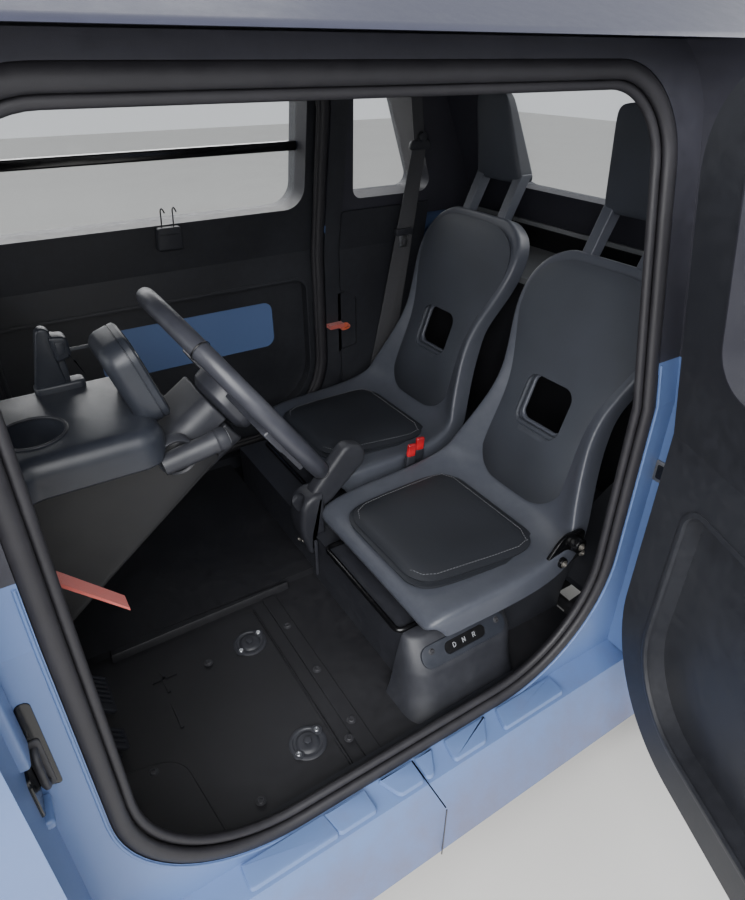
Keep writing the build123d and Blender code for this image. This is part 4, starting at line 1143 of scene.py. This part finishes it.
handle = {
    # hand lever at the front of the plinth: side outlines and spans of its housing and of the
    # lever, and the drum that hollows the housing
    "case": ((-128, 440), (-100, 440), (-100, 384, 4), (-84, 384, 10), (-62, 462, 26),
             (-70, 536, 18), (-100, 556, 14), (-128, 552, 6)), "caseSpan": (-20, 48, 10, 12, 4),
    "lever": ((-86, 520), (-104, 556, 12), (-196, 658, 16), (-246, 640, 16), (-252, 600, 16),
              (-150, 512, 14), (-110, 500)), "leverSpan": (-4, 36, 12, 12, 4),
    "spoon": (24, -30, 30, 10), "spoonPlace": (-60, 14, 545), "spoonLean": 38,
    "screws": ((-76, 30, 426), (-78, 2, 410)),
}


def makeHandle():
    case = moulding(handle["case"], "y", roundLevels(*handle["caseSpan"]), 8)
    spoon = moved(drum(*handle["spoon"]), handle["spoonPlace"], (("Y", handle["spoonLean"]),))
    lever = moulding(handle["lever"], "y", roundLevels(*handle["leverSpan"]), 6)
    finished("handBrake", [solidOf(case, cutter=spoon), lever], "cabinPlastic",
             replaces=("handbrake",), smooth=40)
    screws = [screwHead(*place, 5, (("Y", 90),)) for place in handle["screws"]]
    finished("handleScrews", screws, "zincSteel", smooth=38)


makeHandle()
print("hand lever")

belt = {
    # ends of the visible run, height of the tongue on it, place of the guide
    "low": (-650, 543, 530), "high": (-764, 502, 1200), "tongue": 964, "guide": (-764, 508, 1204),
    "half": 23, "thick": 2.4, "bow": 3,
    # how far the returning run stands off at each end, and how far the upper run goes on
    "backLow": (-46, 1, 12), "backHigh": (-4, 3, 0), "upper": (-2, 0, 0), "roof": (32, -20, 152),
    # each fitting: half width, height and corner at its lower and upper edge, levels, steps
    "guidePlate": ((38, -12, 8), (32, 14, 10), (-14, -2, 3, 3, 3), 5),
    "grip": ((30, -8, 5), (30, 12, 5), (-12, 3, 2, 2, 2), 4),
    "blade": ((13, -44, 4), (15, -8, 2), (-7, -4.5, 0.6, 0.6, 2), 4),
    "foot": ((26, -14, 6), (22, 22, 6), (-9, -1, 2, 2, 2), 4),
    "window": ((6, -36, 2), (6, -18, 2)), "pin": (13, 0, 16, 3), "pinPlace": (0, -12, 22),
}

buckle = {
    "places": ((-392, 8, 440), (-430, -8, 440)), "lean": -5,
    # outline and levels of each piece
    "body": (pane(-14, -7, 14, 7, 5), (74, 108, 4, 2, 3)),
    "button": (pane(-12, -5.6, 12, 5.6, 4), (106, 141, 0, 4, 3)),
    "slit": (pane(-9, -1, 9, 1), (136, 150)), "stalk": (pane(-8, -3, 8, 3, 1), (0, 80)),
}


def strap(low, high, half, thick, steps, bow=0.0):
    # flat webbing between two points, standing in the XZ plane, with a slight bow
    bm = bmesh.new()
    bmesh.ops.create_grid(bm, x_segments=4, y_segments=steps, size=1)
    for vert in bm.verts:
        t = (vert.co.y + 1) / 2
        middle = Vector(low).lerp(Vector(high), t)
        u = vert.co.x
        vert.co = Vector((middle.x + u * half, middle.y - bow * sin(pi * t) + 0.8 * u * u,
                          middle.z)) * 0.001
    return solidOf(bm, wall=thick)


def fitting(name, place):
    x, y, z = place
    lower, upper, (low, high, *ends), steps = belt[name]
    return moulding(flared(x, z, lower, upper), "y", roundLevels(y + low, y + high, *ends), steps)


def makeBelts():
    half, thick = belt["half"], belt["thick"]
    low, high, guide = Vector(belt["low"]), Vector(belt["high"]), Vector(belt["guide"])
    back = (low + Vector(belt["backLow"]), high + Vector(belt["backHigh"]))
    upper = (high + Vector(belt["upper"]), high + Vector(belt["roof"]))
    webs = [strap(low, high, half, thick, 24, belt["bow"]), strap(*back, half, thick, 16),
            strap(*upper, half * 0.8, thick, 8)]
    middle = low.lerp(high, (belt["tongue"] - low.z) / (high.z - low.z))
    window = slab(flared(middle.x, middle.z, *belt["window"]), "y", middle.y - 12, middle.y, 3)
    tongue = solidOf(fitting("blade", middle), cutter=window)
    hard = [fitting("guidePlate", guide), fitting("grip", middle), fitting("foot", low),
            moved(drum(*belt["pin"]), guide + Vector(belt["pinPlace"]), (("X", 90),))]
    for name, parts, finish, gone in (("beltWebs", webs, "beltWeave", ("belts",)),
                                      ("beltFittings", hard, "cabinPlastic", ()),
                                      ("beltTongues", [tongue], "brightSteel", ())):
        finished(name, pairedSides(joined(parts)), finish, replaces=gone, smooth=40)


def makeBuckles():
    reds, blacks = [], []
    turns = (("Y", buckle["lean"]),)
    for place in buckle["places"]:
        body, button = [moulding(rows, "z", roundLevels(*levels), 4)
                        for rows, levels in (buckle["body"], buckle["button"])]
        slit, stalk = [slab(rows, "z", *levels, 2) for rows, levels in (buckle["slit"], buckle["stalk"])]
        reds.append(moved(solidOf(button, cutter=slit), place, turns))
        blacks.append(moved(joined([body, stalk]), place, turns))
    finished("buckleButtons", reds, "buttonRed", replaces=("buckles",), smooth=40)
    finished("buckleBodies", blacks, "cabinPlastic", smooth=40)


makeBelts()
makeBuckles()
print("belts")

door = {
    "hinge": (-513, 690), "open": 67, "inner": 596,
    "window": pane(424, 1052, -424, 1404, 62),
    "pocket": ((430, 430, 150), (-430, 430, 150), (-430, 850, 40), (430, 850, 40)),
    # section of the black frame through the door, with a flange on the skin
    "sleeve": ((594, 0.3), (695.4, 0.3), (695.4, -13), (697.2, -12.6), (697.8, 0), (697.2, 3.4),
               (594, 3.4)),
    "rim": ((-2.2, -5), (-3.4, 0), (-2.6, 4), (3, 5), (5, 0), (3, -5)),
    "divider": (pane(-421, 1201, 421, 1225, 4), (646, 672, 4, 4, 3)),
    # window latch: middle, half width low and high, heights; its two hooks and the line of each
    "latch": (30, 34, 30, 992, 1052), "hooks": (14, 44), "wire": 1.8,
    "hook": ((0, -14, -4), (0, -16, 26), (-2, -22, 46), (6, -12, 48), (12, -8, 34)),
}


def bothDoors(name, bm, finish):
    # one piece on each door: the left leaf stands open, the right one is its half turn
    right = halfTurned(bm)
    x, y = door["hinge"]
    bmesh.ops.rotate(bm, cent=(x * 0.001, y * 0.001, 0), verts=bm.verts,
                     matrix=Matrix.Rotation(radians(door["open"]), 3, "Z"))
    finished(name + "Left", bm, finish, "door_left", smooth=38)
    finished(name + "Right", right, finish, "door_right", smooth=38)


def windowLatch():
    middle, wide, narrow, low, high = door["latch"]
    inner = door["inner"]
    case = moulding(flared(middle, 0, (wide, low, 8), (narrow, high, 6)), "y",
                    roundLevels(inner - 26, inner + 2, 5, 1, 3), 4)
    groove = moulding(pane(middle - wide + 8, high - 18, middle + wide - 8, high - 14, 2), "y",
                      roundLevels(inner - 27, inner - 24, 1, 0, 2), 2)
    return onWall(joined([case, groove]))


def latchHooks():
    inner, high = door["inner"], door["latch"][4]
    lines = [[(x + along, inner + out, high + up) for along, out, up in door["hook"]]
             for x in door["hooks"]]
    return onWall(joined([tube(line, door["wire"], 3, True) for line in lines]))


def makeDoors():
    bothDoors("windowFrame", onWall(hoop(door["window"], "y", door["sleeve"])), "outerPlastic")
    rim = [(door["inner"] + out, draw) for out, draw in door["rim"]]
    bothDoors("pocketRim", hoop(door["pocket"], "y", rim), "doorPlastic")
    rows, levels = door["divider"]
    bothDoors("divider", onWall(moulding(rows, "y", roundLevels(*levels), 3)), "blackGloss")
    bothDoors("windowLatch", windowLatch(), "cabinPlastic")
    bothDoors("latchHooks", latchHooks(), "darkSteel")


makeDoors()
print("doors")

post = {
    # hinge plate on the rear wall of the door's recess
    "wall": -524, "plate": (588, 634, 42), "height": 790,
    "arm": ((-520, 634), (-505, 684), (-510, 690), (-522, 644)),
    "flap": ((606, 742, 14), (684, 700, 14), (684, 420, 20), (650, 420, 20), (606, 680, 20)),
    "flapSpan": (-525, -520, 0, 3, 3), "plateSpan": (-525, -520, 0, 1, 2),
    # striker and the recessed plates round it
    "striker": (512, 744, 800),
    "cheek": ((499, 724, 6), (522, 734, 4), (522, 812, 6), (514, 868, 6), (499, 868, 8)),
    "pit": ((591, 732, 3), (634, 738, 8), (634, 800, 8), (591, 806, 3)),
    "upperPad": ((591, 812, 6), (633, 818, 8), (633, 946, 12), (591, 938, 10)),
    "lowerPad": ((591, 708, 5), (633, 714, 5), (633, 728, 5), (591, 724, 5)),
    "upperSpan": (514, 525, 4, 0, 4), "lowerSpan": (515, 525, 4, 0, 3),
    # raised blocks of the sill: from, to at the seal, then from, to at the outer edge
    "sill": 344, "blockSpan": (594, 636),
    "blocks": ((182, 330, 174, 330), (102, 182, 101, 174), (3, 73, 3, 54), (-43, -3, -18, -3),
               (-169, -71, -138, -65), (-340, -197, -340, -184)),
}


def makePosts():
    # hinge plates and the striker of the driver's door; the other side is their half turn
    wall, z = post["wall"], post["height"]
    y0, y1, tall = post["plate"]
    zinc = [moulding(pane(y0, z - tall / 2, y1, z + tall / 2, 3), "x",
                     roundLevels(*post["plateSpan"]), 3),
            screwHead(wall + 4, y1 - 12, z, turns=(("Y", 90),)),
            slab(post["arm"], "z", z - 16, z + 16, 1)]
    sill = post["sill"]
    dark = [moulding(pane(y0 + 6, z - 14, y0 + 22, z + 14, 3), "x", [(wall + 3, 0), (wall + 4.4, 0)], 3),
            moulding(post["cheek"], "y", [(588.5, 0), (590.2, 0.6), (590.6, 2)], 4),
            moulding(post["pit"], "x", [(520.6, 1), (522, 0), (525, 0)], 4),
            slab(pane(-1.1, 592, 1.1, 692), "z", sill - 0.5, sill + 0.4, 1),
            slab(pane(-1.1, 196, 1.1, 342), "y", 694, 695.4, 1)]
    paint = [moulding(post["flap"], "x", roundLevels(*post["flapSpan"]), 5),
             moulding(post["upperPad"], "x", roundLevels(*post["upperSpan"]), 6),
             moulding(post["lowerPad"], "x", roundLevels(*post["lowerSpan"]), 5)]
    y0, y1 = post["blockSpan"]
    levels = [(sill - 1, -1), (sill + 4, 0), (sill + 6.4, 1.2), (sill + 7, 3.4)]
    paint += [moulding([(near0, y0, 3), (near1, y0, 3), (far1, y1, 7), (far0, y1, 7)], "z", levels, 5)
              for near0, near1, far0, far1 in post["blocks"]]
    x, low, high = post["striker"]
    steel = [moulding(pane(x - 8, low - 12, x + 8, high + 12, 4), "y",
                      roundLevels(590, 593, 0, 1, 2), 3),
             tube([(x, 591, high), (x, 611, high), (x, 611, low), (x, 591, low)], 4, 4, True)]
    for name, parts, finish in (("postPlates", zinc, "zincSteel"), ("strikers", steel, "darkSteel"),
                                ("postRecesses", dark, "blackGloss"),
                                ("sillBlocks", paint, "bodyPaint")):
        left = joined(parts)
        finished(name, [halfTurned(left), left], finish)


def makeRearTrim():
    # painted shadow: a black band under the ledge behind the chairs stands for the shade below its
    # overhang; and the loops of the passenger's post
    shadowBand = slab([(-1093, 915), (-1032.5, 991), (-1029, 989), (-1088, 913)], "y", -536, 536, 1)
    finished("shelfShadowBand", shadowBand, "blackGloss", smooth=38)
    loops = [tube([(x - 530, 5 * z - 550, 9 * z + up) for x, z in oval(-lead, 0, 15, 1, 20)], 2.6, 4)
             for lead, up in ((0, 692), (5.6, 686))]
    finished("postLoops", loops, "orangeWeave", smooth=38)


pedal = {
    # middle and half width of each pad, half height; place and lean of both; width, half length
    # and pitch of the ribs
    "pads": ((191, 47), (301, 25)), "high": 33, "place": (449, 0, 400), "lean": 46,
    "rib": (6, 24, 12),
}


def makePedals():
    parts = []
    high = pedal["high"]
    wide, long, pitch = pedal["rib"]
    for y, half in pedal["pads"]:
        rows = flared(y, 0, (half, -high, 9), (half - 4, high, 9))
        parts.append(moulding(rows, "x", roundLevels(-5, 4, 3, 2, 3), 5))
        parts += [moulding(pane(u, -long, u + wide, long, 2), "x", roundLevels(-10, -4, 2, 0, 2), 2)
                  for u in range(y - half + 10, y + half - 12, pitch)]
    pads = moved(joined(parts), pedal["place"], (("Y", pedal["lean"]),))
    finished("pedalPads", pads, "cabinPlastic")


makePosts()
makeRearTrim()
makePedals()
print("posts, sills and pedals")

tread = {
    "profile": ((178, -52), (190, -66), (205, -74), (222, -77), (240, -76.5), (256, -72.5),
                (266, -68), (271, -62), (272, -30), (272, 30), (271, 62), (266, 68), (256, 72.5),
                (240, 76.5), (222, 77), (205, 74), (190, 66), (178, 52)),
    # each rib of blocks: middle across the tread, width, outer radius, slant in degrees
    "ribs": ((-53, 15, 276.6, 12), (-30, 19, 278.2, 20), (0, 22, 278.5, 0), (30, 19, 278.2, -20),
             (53, 15, 276.6, -12)),
    "count": 64, "axle": 864, "track": 600, "height": 278.5,
    # bright lip of the rim, centre cap, and the circle of the nuts
    "lip": (177, 55, 4.2, 4.2), "cap": ((0, 40), (20, 40), (27, 37), (29, 31), (29, 29), (0, 29)),
    "nutCircle": 49, "nuts": 4,
}


def treadBlocks():
    bm = bmesh.new()
    pitch = 2 * pi / tread["count"]
    for middle, width, radius, slant in tread["ribs"]:
        for k in range(tread["count"]):
            place = Matrix.Rotation(pitch * (k + (0.5 if slant > 0 else 0)), 4, "Z")
            place = place @ Matrix.Translation((radius - 4, 0, middle))
            place = place @ Matrix.Rotation(radians(slant), 4, "X")
            size = Matrix.Diagonal((8, radius * pitch * 0.8, width, 1))
            bmesh.ops.create_cube(bm, size=1, matrix=Matrix.Scale(0.001, 4) @ place @ size)
    return bm


def makeWheels():
    for end, side, label in ((1, 1, "fl"), (1, -1, "fr"), (-1, 1, "rl"), (-1, -1, "rr")):
        place = (end * tread["axle"], side * tread["track"], tread["height"])
        turns = (("X", -90 * side),)
        body = "wheel_" + label
        ring = joined([turnedPiece(tread["profile"], 96), treadBlocks()])
        finished("tyre_" + label + "_tread", moved(ring, place, turns), "tyreRubber", body,
                 replaces=("tyre_" + label,), smooth=40)
        parts = [turnedPiece(oval(*tread["lip"], 10), 96), turnedPiece(tread["cap"], 40)]
        for k in range(tread["nuts"]):
            angle = pi / 4 + 2 * pi * k / tread["nuts"]
            parts.append(moved(joined([drum(9.5, 30, 42, 1.5, 6), drum(12, 29, 32, 1, 24)]),
                               (tread["nutCircle"] * cos(angle), tread["nutCircle"] * sin(angle), 0)))
        finished("wheelNuts_" + label, moved(joined(parts), place, turns), "brightSteel", body)


outside = {
    # lamp bezels: across, then height, radius and place of the main lamp and of the small one
    "lampY": (-470, 470), "lamps": ((640, 62, 1199), (790, 34, 1193)),
    "bezel": ((-3, 0), (-1, 5), (3, 6.5), (7, 4), (8, -8), (-3, -8)),
    "mirror": ((693, 962, 12), (777, 962, 16), (777, 1068, 16), (693, 1068, 12)),
    "slats": (236, 266, 296, 326), "slatHalf": 330, "slatHigh": 12,
}


def makeOutside():
    bezels = [moved(turnedPiece([(radius + out, up) for out, up in outside["bezel"]], 56), (x, y, z),
                    (("Y", 90),)) for y in outside["lampY"] for z, radius, x in outside["lamps"]]
    front = joined(bezels)
    finished("lampBezels", [halfTurned(front), front], "outerPlastic")
    glass = moulding(outside["mirror"], "x", [(588.4, 1.5), (589.4, 0), (591, 0)], 6)
    finished("mirrorGlass", pairedSides(glass), "brightSteel")
    half, high = outside["slatHalf"], outside["slatHigh"]
    front = joined([moulding(pane(-half, z, half, z + high, 5), "x", roundLevels(1196, 1207, 0, 4, 3), 4)
                    for z in outside["slats"]])
    finished("bumperSlats", [halfTurned(front), front], "blackGloss")


makeWheels()
makeOutside()
print("wheels and outside")

stage = {
    "floorHalf": 14, "floor": ((196, 194, 190), (208, 206, 202)), "sky": (0.93, 0.96, 1.0, 1),
    # each lamp: place, aim, size, power
    "lamps": {
        "overDoor": ((1.4, 3.2, 3.4), (0, 0, 0.7), 3.0, 260),
        "farSide": ((-0.6, -4.2, 3.0), (0, 0, 0.9), 3.5, 200),
        "behind": ((-4.0, 0.8, 2.6), (0, 0, 0.9), 2.5, 120),
        "front": ((4.0, 1.0, 2.8), (0, 0, 0.9), 2.5, 80),
        "seatBacks": ((1.7, 1.9, 1.75), (-0.7, 0, 1.05), 1.3, 38),
    },
}


def stageAndLight():
    bm = bmesh.new()
    bmesh.ops.create_grid(bm, x_segments=1, y_segments=1, size=stage["floorHalf"])
    floor = linked("studioFloor", meshFrom(bm, "studioFloor"))
    pale = Finish("studioPale", None, Roughness=0.85)
    pale.feed("Base Color", pale.mix(pale.noise(1.5), *stage["floor"]))
    floor.data.materials.append(pale.material)
    world = bpy.data.worlds.new("studioSky")
    bpy.context.scene.world = world
    world.use_nodes = True
    sky = world.node_tree.nodes["Background"]
    sky.inputs["Color"].default_value = stage["sky"]
    sky.inputs["Strength"].default_value = 1.0
    for name, (place, aim, size, power) in stage["lamps"].items():
        data = bpy.data.lights.new(name, "AREA")
        data.size = size
        data.energy = power
        direction = Vector(aim) - Vector(place)
        linked(name, data).matrix_world = (Matrix.Translation(place)
                                           @ direction.to_track_quat("-Z", "Y").to_matrix().to_4x4())


stageAndLight()
print("stage and light")
